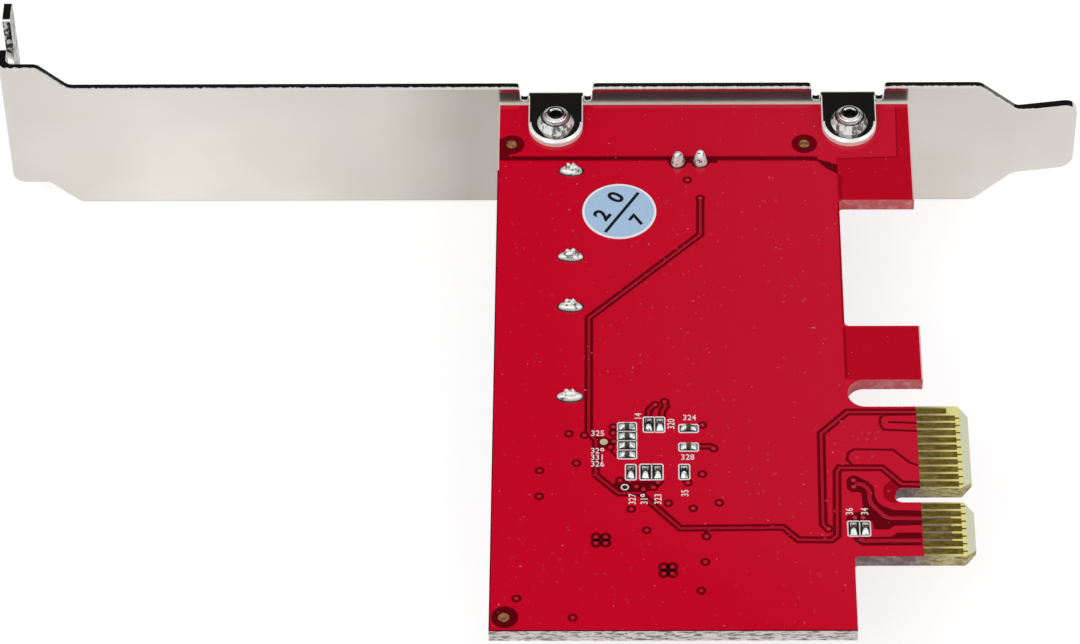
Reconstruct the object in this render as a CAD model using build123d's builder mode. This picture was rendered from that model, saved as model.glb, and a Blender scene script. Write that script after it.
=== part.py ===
from build123d import *
import os

# Expansion card with two SATA ports, seen from its solder side. Millimetres.
# Origin: centre of the key notch, at the tip of the edge connector, middle of the board.
# X runs from the card's free edge to the edge connector, Y towards the bracket, Z out of the solder side.

# Circuit board, u from its free edge and v from its bracket edge
board_thickness = 1.57
board_width = 37.75
board_length = 74.5
wing_reach = 8.3
wing_length = 14.65
hook_start = 33.1
hook_length = 7.65
hook_reach = 8.1
hook_slot = 3.75
tongue_reach = 12.62
inner_fillet = 0.5

# Edge connector
contact_pitch = 1.0
contact_width = 0.7
contact_length = 4.1
first_contact_length = 3.2
contact_setback = 1.38
contact_plating = 0.04
contacts_before_key = 11
contacts_after_key = 7
key_pitch = 3.0
key_width = 1.9
key_depth = 8.25
tongue_margin = 0.65
tip_bevel = 0.95
tip_bevel_height = 0.45
tongue_chamfer = 1.1

# Bracket sheet
sheet = 0.86
bracket_length = 121.5
bracket_width = 18.42
bracket_gap = 1.0
bracket_above_board = 1.6
bracket_left_reach = 56.2
bend_radius = 0.8
screw_tab_length = 11.0
screw_tab_jog = 3.3
jog_start = 4.4
notch_width = 4.42
notch_mouth = 0.4
notch_depth = 6.4
notch_from_plate = 5.55
foot_width = 10.19
foot_length = 6.9
foot_taper = 4.3
foot_offset = 0.35
foot_corner = 1.6
foot_bend = 8.0
outline_corner = 1.2

# Bracket's mounting tabs and their screws
tab_width = 6.05
tab_reach = 6.5
tab_bend = 0.3
tab_edge = 0.3
first_tab_u = 6.43
tab_spacing = 32.78
relief_width = 1.05
relief_corner = 0.5
screw_v = 3.54
screw_diameter = 3.0
screw_fit = 0.05
screw_hole_diameter = 3.4
collar_diameter = 4.1
collar_top_diameter = 3.3
collar_height = 1.0
screw_proud = 0.55
screw_point_length = 0.95
screw_point_diameter = 2.1
screw_dimple = 1.3
screw_dimple_depth = 0.8
screw_tip_round = 0.2
screw_head_diameter = 5.6
screw_head_height = 2.1
recess_width = 0.7
recess_span = 3.0
recess_floor = 0.6
recess_depth = 1.1

# SATA ports on the component side, opening at the board's free edge
port_pitch = 20.1
first_port_v = 16.6
port_setback = 0.25
port_depth = 11.6
port_width = 15.2
port_height = 6.9
port_standoff = 0.2
port_corner = 0.4
cavity_width = 11.9
cavity_height = 4.7
cavity_depth = 8.2
cavity_floor = 1.1
cavity_lead_in = 0.3
key_rib = 1.3
blade_width = 9.9
blade_thickness = 1.2
blade_setback = 0.9
port_contact_pitch = 1.27
port_contact_count = 7
port_contact_width = 0.55
port_contact_thickness = 0.15
tail_width = 0.4
tail_thickness = 0.2
tail_reach = 1.6
lock_u = 8.2
lock_spacing = 12.8
lock_width = 1.3
lock_thickness = 0.35
lock_hole_diameter = 1.6
lock_ear = 0.9
lock_joint_length = 2.3
lock_joint_width = 1.5
lock_joint_height = 0.7
lock_joint_crest = 0.5

# Two pin header
header_u = 21.27
header_v = 8.87
header_pitch = 2.54
header_body_width = 2.5
header_body_height = 2.5
header_pin = 0.64
header_pin_height = 8.5
header_pin_proud = 1.5
header_hole_diameter = 1.0
header_joint_diameter = 1.75
header_joint_height = 1.15

# Controller chip
chip_u = 17.5
chip_v = 50.5
chip_size = 7.0
chip_height = 1.4
chip_standoff = 0.1
lead_pitch = 0.5
leads_per_side = 12
lead_width = 0.22
lead_thickness = 0.15
lead_span = 9.0
lead_foot = 0.6
chip_edge_bevel = 0.12

# Flash memory
flash_u = 29.0
flash_v = 52.5
flash_length = 4.9
flash_width = 3.9
flash_height = 1.5
flash_lead_pitch = 1.27
flash_leads_per_side = 4
flash_lead_width = 0.4
flash_span = 6.0

# Voltage regulator with a heat tab
regulator_u = 27.5
regulator_v = 30.0
regulator_length = 6.5
regulator_width = 3.5
regulator_height = 1.6
regulator_lead_pitch = 2.3
regulator_lead_width = 0.7
regulator_tab_width = 3.0
regulator_span = 7.0

# Crystal, inductor and tantalum capacitor
crystal_u = 9.5
crystal_v = 57.5
crystal_length = 5.0
crystal_width = 3.2
crystal_base = 0.6
crystal_lid = 0.5
crystal_lid_margin = 0.35
inductor_u = 28.5
inductor_v = 40.0
inductor_size = 4.0
inductor_height = 2.0
inductor_flange = 0.4
inductor_drum_diameter = 3.0
tantalum_u = 27.5
tantalum_v = 22.0
tantalum_length = 3.5
tantalum_width = 2.8
tantalum_height = 1.9
tantalum_terminal = 0.25

# Small chip parts: ceramic body with metal ends and solder fillets
chip_part_length = 1.0
chip_part_width = 0.5
chip_part_height = 0.42
chip_part_end = 0.24
solder_length = 0.32
solder_height = 0.34

# Sticker and fiducial marks
sticker_u = 13.51
sticker_v = 16.33
sticker_diameter = 8.15
sticker_thickness = 0.1
fiducial_diameter = 1.15
fiducial_thickness = 0.04
fiducial_inset = 1.53
fiducial_row_v = 6.12
fiducial_from_tab = 2.04
last_fiducial_inset = 1.78
test_pad_offset = 5.78
test_pad_step = 1.11

# Values that follow
tip_u = board_width + tongue_reach
key_v = hook_start + hook_length + hook_slot + tongue_margin + contact_pitch * (contacts_before_key - 1)
key_v = key_v + key_pitch / 2
solder_z = board_thickness / 2
component_z = -board_thickness / 2
plate_inner_y = key_v + bracket_gap
plate_outer_y = plate_inner_y + sheet
plate_top_z = solder_z + bracket_above_board
plate_bottom_z = plate_top_z - bracket_width
bracket_left_x = -tip_u - bracket_left_reach
bracket_right_x = bracket_left_x + bracket_length
tab_centres = [first_tab_u, first_tab_u + tab_spacing]
second_fiducial_u = first_tab_u + tab_spacing - tab_width / 2 - fiducial_from_tab
tongue_start = hook_start + hook_length + hook_slot
tongue_end = tongue_start + 2 * tongue_margin + contact_pitch * (contacts_before_key - 1)
tongue_end = tongue_end + key_pitch + contact_pitch * (contacts_after_key - 1)
port_centres = [first_port_v, first_port_v + port_pitch]
lock_places = [(lock_u, v + side * lock_spacing / 2) for v in port_centres for side in (-1, 1)]
pin_places = [(header_u - header_pitch / 2, header_v), (header_u + header_pitch / 2, header_v)]

# Small parts on the solder side: place u, v and whether they lie along the board's length
capacitors_below = [
    (14.26, 47.26, False), (14.26, 48.54, False), (14.26, 49.82, False), (14.26, 51.1, False),
    (17.74, 46.98, True), (20.76, 47.44, False), (20.74, 50.04, False), (14.63, 53.48, True),
    (16.16, 53.48, True), (17.45, 53.48, True), (37.73, 61.14, True), (38.97, 61.14, True),
]
resistors_below = [(16.54, 46.98, True), (20.24, 53.46, True)]

# Small parts on the component side
capacitors_above = [
    (10.6, 47.0, False), (10.6, 49.5, False), (15.0, 57.2, True), (18.5, 57.2, True),
    (24.2, 48.5, True), (24.2, 53.0, True), (22.5, 30.0, True), (33.2, 30.0, True),
    (33.0, 40.0, True), (15.4, 13.6, False), (15.4, 19.0, False), (15.4, 34.0, False),
    (15.4, 39.4, False), (39.0, 51.5, False), (39.0, 53.5, False),
]


def board_x(u):
    return u - tip_u


def board_y(v):
    return key_v - v


def corner(builder, u, v):
    return builder.vertices().sort_by_distance((board_x(u), board_y(v)))[0]


# One gull wing lead from a body's side out to its foot
def make_lead(half_span, body_half, rise, width):
    slope_start = body_half + (half_span - lead_foot - body_half) / 2
    slope_end = half_span - lead_foot
    half = lead_thickness / 2
    with BuildPart() as lead:
        with BuildSketch(Plane.XZ):
            with BuildLine():
                Polyline(
                    (body_half, rise), (slope_start + half, rise), (slope_end + half, lead_thickness),
                    (half_span, lead_thickness), (half_span, 0), (slope_end - half, 0),
                    (slope_start - half, rise - lead_thickness), (body_half, rise - lead_thickness), close=True,
                )
            make_face()
        extrude(amount=width / 2, both=True)
    return lead


# Circuit board: outline, slot, key notch, bevelled tip and holes
def make_board():
    with BuildPart() as board:
        with BuildSketch(Plane.XY.offset(component_z)) as outline:
            with Locations((board_x(0), board_y(0))):
                Rectangle(board_width, board_length, align=(Align.MIN, Align.MAX))
                Rectangle(board_width + wing_reach, wing_length, align=(Align.MIN, Align.MAX))
            with Locations((board_x(0), board_y(hook_start))):
                Rectangle(board_width + hook_reach, hook_length, align=(Align.MIN, Align.MAX))
            with Locations((board_x(0), board_y(tongue_start))):
                Rectangle(tip_u, tongue_end - tongue_start, align=(Align.MIN, Align.MAX))
            fillet(corner(outline, board_width, hook_start), inner_fillet)
            fillet(corner(outline, board_width, wing_length), inner_fillet)
            fillet(corner(outline, board_width, tongue_end), inner_fillet)
            half_slot = hook_slot / 2 - 0.001
            fillet([corner(outline, board_width, hook_start + hook_length),
                    corner(outline, board_width, tongue_start)], half_slot)
            with Locations((key_width / 2 - key_depth, 0)):
                Circle(key_width / 2, mode=Mode.SUBTRACT)
                Rectangle(key_depth, key_width, align=(Align.MIN, Align.CENTER), mode=Mode.SUBTRACT)
            chamfer(
                [corner(outline, tip_u, v) for v in
                 (tongue_start, key_v - key_width / 2, key_v + key_width / 2, tongue_end)],
                tongue_chamfer,
            )
        extrude(amount=board_thickness)
        with BuildSketch(Plane.XZ):
            for side in (1, -1):
                with BuildLine():
                    Polyline(
                        (-tip_bevel, side * solder_z), (0, side * (solder_z - tip_bevel_height)),
                        (tip_bevel, side * (solder_z - tip_bevel_height)), (tip_bevel, side * 2 * solder_z),
                        (-tip_bevel, side * 2 * solder_z), close=True,
                    )
                make_face()
        extrude(amount=board_length, both=True, mode=Mode.SUBTRACT)
        with Locations(*[(board_x(u), board_y(screw_v)) for u in tab_centres]):
            Cylinder(screw_hole_diameter / 2, 2 * board_thickness, mode=Mode.SUBTRACT)
        with Locations(*[(board_x(u), board_y(v)) for u, v in lock_places]):
            Cylinder(lock_hole_diameter / 2, 2 * board_thickness, mode=Mode.SUBTRACT)
        with Locations(*[(board_x(u), board_y(v)) for u, v in pin_places]):
            Cylinder(header_hole_diameter / 2, 2 * board_thickness, mode=Mode.SUBTRACT)
    return board


# Edge contacts: eleven before the key notch, the first one short, and seven after it
def make_contacts(face_z, outward):
    first_y = board_y(tongue_start + tongue_margin)
    start_x = -contact_setback - contact_length
    with BuildPart() as contacts:
        for number in range(contacts_before_key + contacts_after_key):
            step = number * contact_pitch
            if number >= contacts_before_key:
                step = step + key_pitch - contact_pitch
            length = first_contact_length if number == 0 else contact_length
            with Locations((start_x, first_y - step, face_z + outward * contact_plating / 2)):
                Box(length, contact_width, contact_plating, align=(Align.MIN, Align.CENTER, Align.CENTER))
    return contacts


# Bracket: one folded sheet, its outline cut from the folded strip
def make_bracket():
    taper_x = bracket_right_x - foot_length - foot_taper
    foot_x = bracket_right_x - foot_length
    foot_mid_z = (plate_top_z + plate_bottom_z) / 2 + foot_offset
    jog_x = bracket_left_x + jog_start
    tab_tip_y = plate_inner_y + screw_tab_length
    relief_half = tab_width / 2 + relief_width
    relief_middle = tab_width / 2 + relief_width / 2
    with BuildPart() as bracket:
        with BuildSketch(Plane.XZ) as outline:
            with BuildLine():
                Polyline(
                    (bracket_left_x, plate_bottom_z + screw_tab_jog), (jog_x, plate_bottom_z + screw_tab_jog),
                    (jog_x + screw_tab_jog, plate_bottom_z), (taper_x, plate_bottom_z),
                    (foot_x, foot_mid_z - foot_width / 2), (bracket_right_x, foot_mid_z - foot_width / 2),
                    (bracket_right_x, foot_mid_z + foot_width / 2), (foot_x, foot_mid_z + foot_width / 2),
                    (taper_x, plate_top_z), (jog_x + screw_tab_jog, plate_top_z),
                    (jog_x, plate_top_z + screw_tab_jog), (bracket_left_x, plate_top_z + screw_tab_jog),
                    close=True,
                )
            make_face()
            foot_ends = outline.vertices().group_by(Axis.X)[-1]
            fillet(foot_ends, foot_corner)
            turns = [v for v in outline.vertices()
                     if min(abs(v.X - x) for x in (jog_x, jog_x + screw_tab_jog, taper_x, foot_x)) < sheet / 10]
            fillet(turns, outline_corner)
            for u in tab_centres:
                with Locations((board_x(u), solder_z)):
                    Rectangle(2 * relief_half, 2 * bracket_width, align=(Align.CENTER, Align.MIN),
                              mode=Mode.SUBTRACT)
                with Locations(*[(board_x(u) + side * relief_middle, solder_z) for side in (-1, 1)]):
                    Circle(relief_width / 2, mode=Mode.SUBTRACT)
            rims = [v for v in outline.vertices() if abs(v.Y - plate_top_z) < sheet / 10]
            rims = [v for v in rims if any(abs(abs(v.X - board_x(u)) - relief_half) < sheet for u in tab_centres)]
            fillet(rims, relief_corner)
        extrude(amount=-tab_tip_y - sheet)
        with BuildSketch(Plane.XY.offset(plate_bottom_z - sheet)) as strip:
            with Locations((bracket_left_x, plate_inner_y)):
                Rectangle(foot_x - bracket_left_x, sheet, align=(Align.MIN, Align.MIN))
                Rectangle(sheet, screw_tab_length, align=(Align.MIN, Align.MIN))
            with Locations(Location((foot_x, plate_inner_y), foot_bend)):
                Rectangle(2 * foot_length, sheet, align=(Align.MIN, Align.MIN))
            outer = strip.vertices().sort_by_distance((bracket_left_x, plate_inner_y))[0]
            fillet(outer, bend_radius + sheet)
            inner = strip.vertices().sort_by_distance((bracket_left_x + sheet, plate_outer_y))[0]
            fillet(inner, bend_radius)
        extrude(amount=bracket_width + 2 * screw_tab_jog + 2 * sheet, mode=Mode.INTERSECT)
        notch_y = plate_inner_y + notch_from_plate
        notch_z = plate_top_z + screw_tab_jog - notch_depth + notch_width / 2
        with BuildSketch(Plane.YZ.offset(bracket_left_x)):
            with Locations((notch_y, notch_z)):
                Circle(notch_width / 2)
                Rectangle(notch_width, notch_depth, align=(Align.CENTER, Align.MIN))
        extrude(amount=2 * sheet, both=True, mode=Mode.SUBTRACT)
        tab_top = plate_top_z + screw_tab_jog
        mouth = [e for e in bracket.edges().filter_by(Axis.X) if abs(e.center().Z - tab_top) < sheet / 10
                 and abs(abs(e.center().Y - notch_y) - notch_width / 2) < sheet / 10]
        fillet(mouth, notch_mouth)
        tip_edges = bracket.edges().filter_by(Axis.X).group_by(Axis.Y)[-1].sort_by(Axis.Z)
        fillet([tip_edges[0], tip_edges[-1]], bend_radius)
        for u in tab_centres:
            with BuildSketch(Plane.YZ.offset(board_x(u) - tab_width / 2)) as fold:
                with Locations((plate_outer_y, solder_z + sheet)):
                    Rectangle(tab_reach + bracket_gap + sheet, sheet, align=(Align.MAX, Align.MAX))
                    Rectangle(sheet, 2 * sheet, align=(Align.MAX, Align.MAX))
                fillet(fold.vertices().sort_by_distance((plate_outer_y, solder_z + sheet))[0], tab_bend + sheet)
                fillet(fold.vertices().sort_by_distance((plate_inner_y, solder_z))[0], tab_bend)
            extrude(amount=tab_width)
            with BuildSketch(Plane.XY.offset(solder_z)):
                with Locations((board_x(u), board_y(tab_reach - tab_width / 2))):
                    Rectangle(tab_width, tab_width, align=(Align.CENTER, Align.MAX))
                    Circle(tab_width / 2 - 0.001, mode=Mode.SUBTRACT)
            extrude(amount=sheet, mode=Mode.SUBTRACT)
            with BuildSketch(Plane.XY.offset(solder_z + sheet)):
                with Locations((board_x(u), board_y(screw_v))):
                    Circle(collar_diameter / 2)
            with BuildSketch(Plane.XY.offset(solder_z + sheet + collar_height)):
                with Locations((board_x(u), board_y(screw_v))):
                    Circle(collar_top_diameter / 2)
            loft()
            with Locations((board_x(u), board_y(screw_v), solder_z)):
                Cylinder(screw_diameter / 2 + screw_fit, 4 * (sheet + collar_height), mode=Mode.SUBTRACT)
            round_end = [e for e in bracket.edges().filter_by(GeomType.CIRCLE)
                         if abs(e.radius - tab_width / 2) < sheet / 10 and e.center().Z > solder_z + sheet / 2
                         and abs(e.center().X - board_x(u)) < tab_width / 2]
            chamfer(round_end, tab_edge)
    return bracket


# Bracket screw: pan head with a cross recess on the component side, point through the collar
def make_screw(u):
    centre = (board_x(u), board_y(screw_v), 0)
    point_z = solder_z + sheet + collar_height + screw_proud
    head_z = component_z - screw_head_height
    head_radius = screw_head_diameter / 2
    with BuildPart() as screw:
        with BuildSketch(Plane(origin=centre, x_dir=(1, 0, 0), z_dir=(0, -1, 0))):
            with BuildLine():
                Line((0, head_z), (head_radius - screw_head_height / 3, head_z))
                Polyline(
                    (head_radius - screw_head_height / 3, head_z),
                    (head_radius - screw_head_height / 10, component_z - screw_head_height * 0.75),
                    (head_radius, component_z - screw_head_height * 0.4), (head_radius, component_z),
                    (screw_diameter / 2, component_z), (screw_diameter / 2, point_z - screw_point_length),
                    (screw_point_diameter / 2, point_z - screw_tip_round),
                    (screw_point_diameter / 2 - screw_tip_round / 2, point_z),
                    (screw_dimple / 2 + screw_tip_round / 2, point_z),
                    (screw_dimple / 2, point_z - screw_tip_round), (screw_dimple / 2, point_z - screw_dimple_depth),
                    (0, point_z - screw_dimple_depth), (0, head_z),
                )
            make_face()
        revolve(axis=Axis(centre, (0, 0, 1)))
        for z, share in ((head_z, 1), (head_z + recess_depth, recess_floor)):
            with BuildSketch(Plane(origin=(centre[0], centre[1], z))):
                Rectangle(recess_span * share, recess_width * share)
                Rectangle(recess_width * share, recess_span * share)
        loft(ruled=True, mode=Mode.SUBTRACT)
    return screw


# SATA port: moulded shroud with its cavity, blade with the L key, and tongue support
def port_frame(v):
    front_x = board_x(port_setback)
    floor_z = component_z - port_standoff
    return front_x, board_y(v), floor_z


def blade_top(floor_z):
    return floor_z - cavity_floor - (cavity_height - blade_thickness) / 2


def make_port(v):
    front_x, mid_y, floor_z = port_frame(v)
    blade_z = blade_top(floor_z)
    blade_start = mid_y - blade_width / 2
    with BuildPart() as port:
        with BuildSketch(Plane.YZ.offset(front_x)):
            with Locations((mid_y, floor_z - port_height / 2)):
                RectangleRounded(port_width, port_height, port_corner)
        extrude(amount=port_depth)
        with BuildSketch(Plane.YZ.offset(front_x)):
            with Locations((mid_y, floor_z - cavity_floor - cavity_height / 2)):
                Rectangle(cavity_width, cavity_height)
        extrude(amount=cavity_depth, mode=Mode.SUBTRACT)
        rim = port.faces().sort_by(Axis.X)[0].inner_wires()[0].edges()
        chamfer(rim, cavity_lead_in)
        with BuildSketch(Plane.YZ.offset(front_x + blade_setback)):
            with BuildLine():
                Polyline(
                    (blade_start, blade_z), (blade_start + blade_width, blade_z),
                    (blade_start + blade_width, blade_z - blade_thickness),
                    (blade_start + key_rib, blade_z - blade_thickness),
                    (blade_start + key_rib, blade_z - 2 * blade_thickness),
                    (blade_start, blade_z - 2 * blade_thickness), close=True,
                )
            make_face()
        extrude(amount=cavity_depth - blade_setback)
        pocket = port_contact_pitch * port_contact_count
        with Locations((front_x + port_depth, mid_y, floor_z)):
            Box(port_depth - cavity_depth - lock_ear, pocket, port_height * 0.45,
                align=(Align.MAX, Align.CENTER, Align.MAX), mode=Mode.SUBTRACT)
        with Locations(*[(board_x(lock_u), mid_y + side * lock_spacing / 2, floor_z) for side in (-1, 1)]):
            Box(lock_width, lock_thickness, 2 * lock_ear, mode=Mode.SUBTRACT)
        with Locations((front_x, mid_y, component_z)):
            with Locations(*[(port_depth / 2, side * (port_width / 2 - lock_ear), 0) for side in (-1, 1)]):
                Box(port_depth * 0.7, lock_ear, port_standoff, align=(Align.CENTER, Align.CENTER, Align.MAX))
        with Locations(*[(board_x(lock_u), mid_y + side * lock_spacing / 2, component_z) for side in (-1, 1)]):
            Box(lock_width, lock_thickness, 2 * port_standoff, mode=Mode.SUBTRACT)
    return port


# Seven contacts on the port's blade and their tails on the board behind it
def make_port_contacts(v):
    front_x, mid_y, floor_z = port_frame(v)
    blade_z = blade_top(floor_z)
    start_x = front_x + blade_setback + blade_thickness / 2
    end_x = front_x + cavity_depth
    pocket_x = front_x + cavity_depth + lock_ear
    tail_end = front_x + port_depth + tail_reach
    exit_z = floor_z - port_height * 0.3
    with BuildPart() as contacts:
        for number in range(port_contact_count):
            offset = (number - (port_contact_count - 1) / 2) * port_contact_pitch
            with Locations((start_x, mid_y + offset, blade_z)):
                Box(end_x - start_x, port_contact_width, port_contact_thickness,
                    align=(Align.MIN, Align.CENTER, Align.MIN))
            with BuildSketch(Plane.XZ.offset(-(mid_y + offset))):
                with BuildLine():
                    Polyline(
                        (pocket_x, exit_z), (tail_end - tail_reach, exit_z),
                        (tail_end - tail_reach + tail_thickness, component_z - tail_thickness),
                        (tail_end, component_z - tail_thickness), (tail_end, component_z),
                        (tail_end - tail_reach, component_z),
                        (tail_end - tail_reach - tail_thickness, exit_z + tail_thickness),
                        (pocket_x, exit_z + tail_thickness), close=True,
                    )
                make_face()
            extrude(amount=tail_width / 2, both=True)
    return contacts


# Sheet metal board locks of both ports, from the housing through the board
def make_locks():
    floor_z = component_z - port_standoff
    with BuildPart() as locks:
        with Locations(*[(board_x(u), board_y(v), solder_z) for u, v in lock_places]):
            Box(lock_width, lock_thickness, solder_z - floor_z + lock_ear,
                align=(Align.CENTER, Align.CENTER, Align.MAX))
    return locks


# Solder over the board locks: one low faceted lump on each oval pad
def make_lock_joints():
    with BuildPart() as joint:
        for z, share in ((0, 1), (lock_joint_height, lock_joint_crest)):
            with BuildSketch(Plane.XY.offset(z)) as pad:
                Rectangle(lock_joint_length * share, lock_joint_width * share)
                chamfer(pad.vertices(), lock_joint_width * share * 0.3)
        loft(ruled=True)
    with BuildPart() as joints:
        with Locations(*[(board_x(u), board_y(v), solder_z) for u, v in lock_places]):
            add(joint.part)
    return joints


# Header: moulded base, two square pins and their solder cones
def make_header_base():
    with BuildPart() as base:
        with Locations((board_x(header_u), board_y(header_v), component_z)):
            Box(2 * header_pitch, header_body_width, header_body_height,
                align=(Align.CENTER, Align.CENTER, Align.MAX))
            chamfer(base.edges().filter_by(Axis.Z), 0.35)
        with Locations(*[(board_x(u), board_y(v), component_z) for u, v in pin_places]):
            Box(header_pin, header_pin, 4 * header_body_height, mode=Mode.SUBTRACT)
    return base


def make_header_pins():
    with BuildPart() as pins:
        length = board_thickness + header_pin_height + header_pin_proud
        with Locations(*[(board_x(u), board_y(v), solder_z + header_pin_proud) for u, v in pin_places]):
            Box(header_pin, header_pin, length, align=(Align.CENTER, Align.CENTER, Align.MAX))
        chamfer(pins.faces().filter_by(Axis.Z).edges(), 0.15)
    return pins


def make_header_joints():
    with BuildPart() as joints:
        with Locations(*[(board_x(u), board_y(v), solder_z) for u, v in pin_places]):
            Cone(header_joint_diameter / 2, header_pin * 0.75, header_joint_height,
                 align=(Align.CENTER, Align.CENTER, Align.MIN))
            Box(header_pin, header_pin, 4 * header_joint_height, mode=Mode.SUBTRACT)
    return joints


# Controller chip: bevelled body and a row of gull wing leads on each side
def make_chip():
    with BuildPart() as chip:
        with Locations((board_x(chip_u), board_y(chip_v), component_z - chip_standoff)):
            Box(chip_size, chip_size, chip_height, align=(Align.CENTER, Align.CENTER, Align.MAX))
        chamfer(chip.edges().filter_by(Axis.Z), chip_edge_bevel * 3)
        chamfer(chip.faces().filter_by(Axis.Z).edges(), chip_edge_bevel)
        dot_u = chip_u - chip_size / 2 + 3 * lead_foot
        dot_v = chip_v - chip_size / 2 + 3 * lead_foot
        with Locations((board_x(dot_u), board_y(dot_v), component_z - chip_standoff - chip_height)):
            Cylinder(lead_foot / 2, chip_edge_bevel, mode=Mode.SUBTRACT)
    return chip


def make_chip_leads():
    lead = make_lead(lead_span / 2, chip_size / 2, chip_standoff + chip_height / 2, lead_width)
    with BuildPart() as leads:
        with Locations(Location((board_x(chip_u), board_y(chip_v), component_z), (180, 0, 0))):
            for turn in range(4):
                with Locations(Location((0, 0, 0), (0, 0, 90 * turn))):
                    with GridLocations(1, lead_pitch, 1, leads_per_side):
                        add(lead.part)
    return leads


# Flash memory with four leads on two sides
def make_flash():
    with BuildPart() as flash:
        with Locations((board_x(flash_u), board_y(flash_v), component_z - chip_standoff)):
            Box(flash_width, flash_length, flash_height, align=(Align.CENTER, Align.CENTER, Align.MAX))
        chamfer(flash.faces().filter_by(Axis.Z).edges(), chip_edge_bevel)
    return flash


def make_flash_leads():
    lead = make_lead(flash_span / 2, flash_width / 2, chip_standoff + flash_height / 2, flash_lead_width)
    with BuildPart() as leads:
        with Locations(Location((board_x(flash_u), board_y(flash_v), component_z), (180, 0, 0))):
            for turn in range(2):
                with Locations(Location((0, 0, 0), (0, 0, 180 * turn))):
                    with GridLocations(1, flash_lead_pitch, 1, flash_leads_per_side):
                        add(lead.part)
    return leads


# Voltage regulator, three leads one side and a wide heat tab on the other
def make_regulator():
    with BuildPart() as regulator:
        with Locations((board_x(regulator_u), board_y(regulator_v), component_z - chip_standoff)):
            Box(regulator_width, regulator_length, regulator_height, align=(Align.CENTER, Align.CENTER, Align.MAX))
        chamfer(regulator.faces().sort_by(Axis.Z)[0].edges(), 2 * chip_edge_bevel)
    return regulator


def make_regulator_leads():
    rise = chip_standoff + regulator_height / 2
    narrow = make_lead(regulator_span / 2, regulator_width / 2, rise, regulator_lead_width)
    wide = make_lead(regulator_span / 2, regulator_width / 2, rise, regulator_tab_width)
    with BuildPart() as leads:
        with Locations(Location((board_x(regulator_u), board_y(regulator_v), component_z), (180, 0, 0))):
            with GridLocations(1, regulator_lead_pitch, 1, 3):
                add(narrow.part)
            with Locations(Location((0, 0, 0), (0, 0, 180))):
                add(wide.part)
    return leads


# Crystal: ceramic base with a metal lid
def make_crystal_base():
    with BuildPart() as base:
        with Locations((board_x(crystal_u), board_y(crystal_v), component_z)):
            Box(crystal_length, crystal_width, crystal_base, align=(Align.CENTER, Align.CENTER, Align.MAX))
        chamfer(base.edges().filter_by(Axis.Z), crystal_lid_margin)
    return base


def make_crystal_lid():
    with BuildPart() as lid:
        with Locations((board_x(crystal_u), board_y(crystal_v), component_z - crystal_base)):
            Box(crystal_length - 2 * crystal_lid_margin, crystal_width - 2 * crystal_lid_margin, crystal_lid,
                align=(Align.CENTER, Align.CENTER, Align.MAX))
        fillet(lid.edges().filter_by(Axis.Z), crystal_lid_margin)
    return lid


# Inductor: drum core between two square flanges
def make_inductor():
    with BuildPart() as inductor:
        with BuildSketch(Plane.XY.offset(component_z)) as flange:
            with Locations((board_x(inductor_u), board_y(inductor_v))):
                Rectangle(inductor_size, inductor_size)
            chamfer(flange.vertices(), inductor_flange)
        extrude(amount=-inductor_flange)
        with Locations((board_x(inductor_u), board_y(inductor_v), component_z)):
            Cylinder(inductor_drum_diameter / 2, inductor_height, align=(Align.CENTER, Align.CENTER, Align.MAX))
        with BuildSketch(Plane.XY.offset(component_z - inductor_height + inductor_flange)) as flange:
            with Locations((board_x(inductor_u), board_y(inductor_v))):
                Rectangle(inductor_size, inductor_size)
            chamfer(flange.vertices(), inductor_flange)
        extrude(amount=-inductor_flange)
    return inductor


# Tantalum capacitor with a folded terminal at each end
def make_tantalum():
    with BuildPart() as tantalum:
        with Locations((board_x(tantalum_u), board_y(tantalum_v), component_z - tantalum_terminal)):
            Box(tantalum_length, tantalum_width, tantalum_height, align=(Align.CENTER, Align.CENTER, Align.MAX))
        chamfer(tantalum.faces().sort_by(Axis.Z)[0].edges().filter_by(Axis.Y), 2 * chip_edge_bevel)
    return tantalum


def make_tantalum_ends():
    half = tantalum_length / 2
    with BuildPart() as ends:
        for side in (-1, 1):
            with Locations((board_x(tantalum_u) + side * half, board_y(tantalum_v), component_z)):
                Box(tantalum_terminal, tantalum_width * 0.7, tantalum_height * 0.55,
                    align=(Align.MIN if side > 0 else Align.MAX, Align.CENTER, Align.MAX))
                Box(half * 0.45, tantalum_width * 0.7, tantalum_terminal,
                    align=(Align.MAX if side > 0 else Align.MIN, Align.CENTER, Align.MAX))
    return ends


# Small chip parts: bodies and the soldered metal ends, on either side of the board
def part_places(places, face_z):
    flip = 0 if face_z > 0 else 180
    return [Location((board_x(u), board_y(v), face_z), (flip, 0, 90 if lengthwise else 0))
            for u, v, lengthwise in places]


def make_bodies(places, face_z):
    with BuildPart() as bodies:
        with Locations(*part_places(places, face_z)):
            Box(chip_part_length - 2 * chip_part_end, chip_part_width, chip_part_height,
                align=(Align.CENTER, Align.CENTER, Align.MIN))
    return bodies


def make_ends(places, face_z):
    end_x = chip_part_length / 2
    with BuildPart() as one:
        with BuildSketch(Plane.XZ):
            with BuildLine():
                Polyline(
                    (end_x - chip_part_end, 0), (end_x + solder_length, 0), (end_x, solder_height),
                    (end_x, chip_part_height), (end_x - chip_part_end, chip_part_height), close=True,
                )
            make_face()
        extrude(amount=chip_part_width / 2, both=True)
    with BuildPart() as ends:
        with Locations(*part_places(places, face_z)):
            add(one.part)
            with Locations(Location((0, 0, 0), (0, 0, 180))):
                add(one.part)
    return ends


# Inspection sticker and fiducial marks on the solder side
def make_sticker():
    with BuildPart() as sticker:
        with Locations((board_x(sticker_u), board_y(sticker_v), solder_z)):
            Cylinder(sticker_diameter / 2, sticker_thickness, align=(Align.CENTER, Align.CENTER, Align.MIN))
    return sticker


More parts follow.
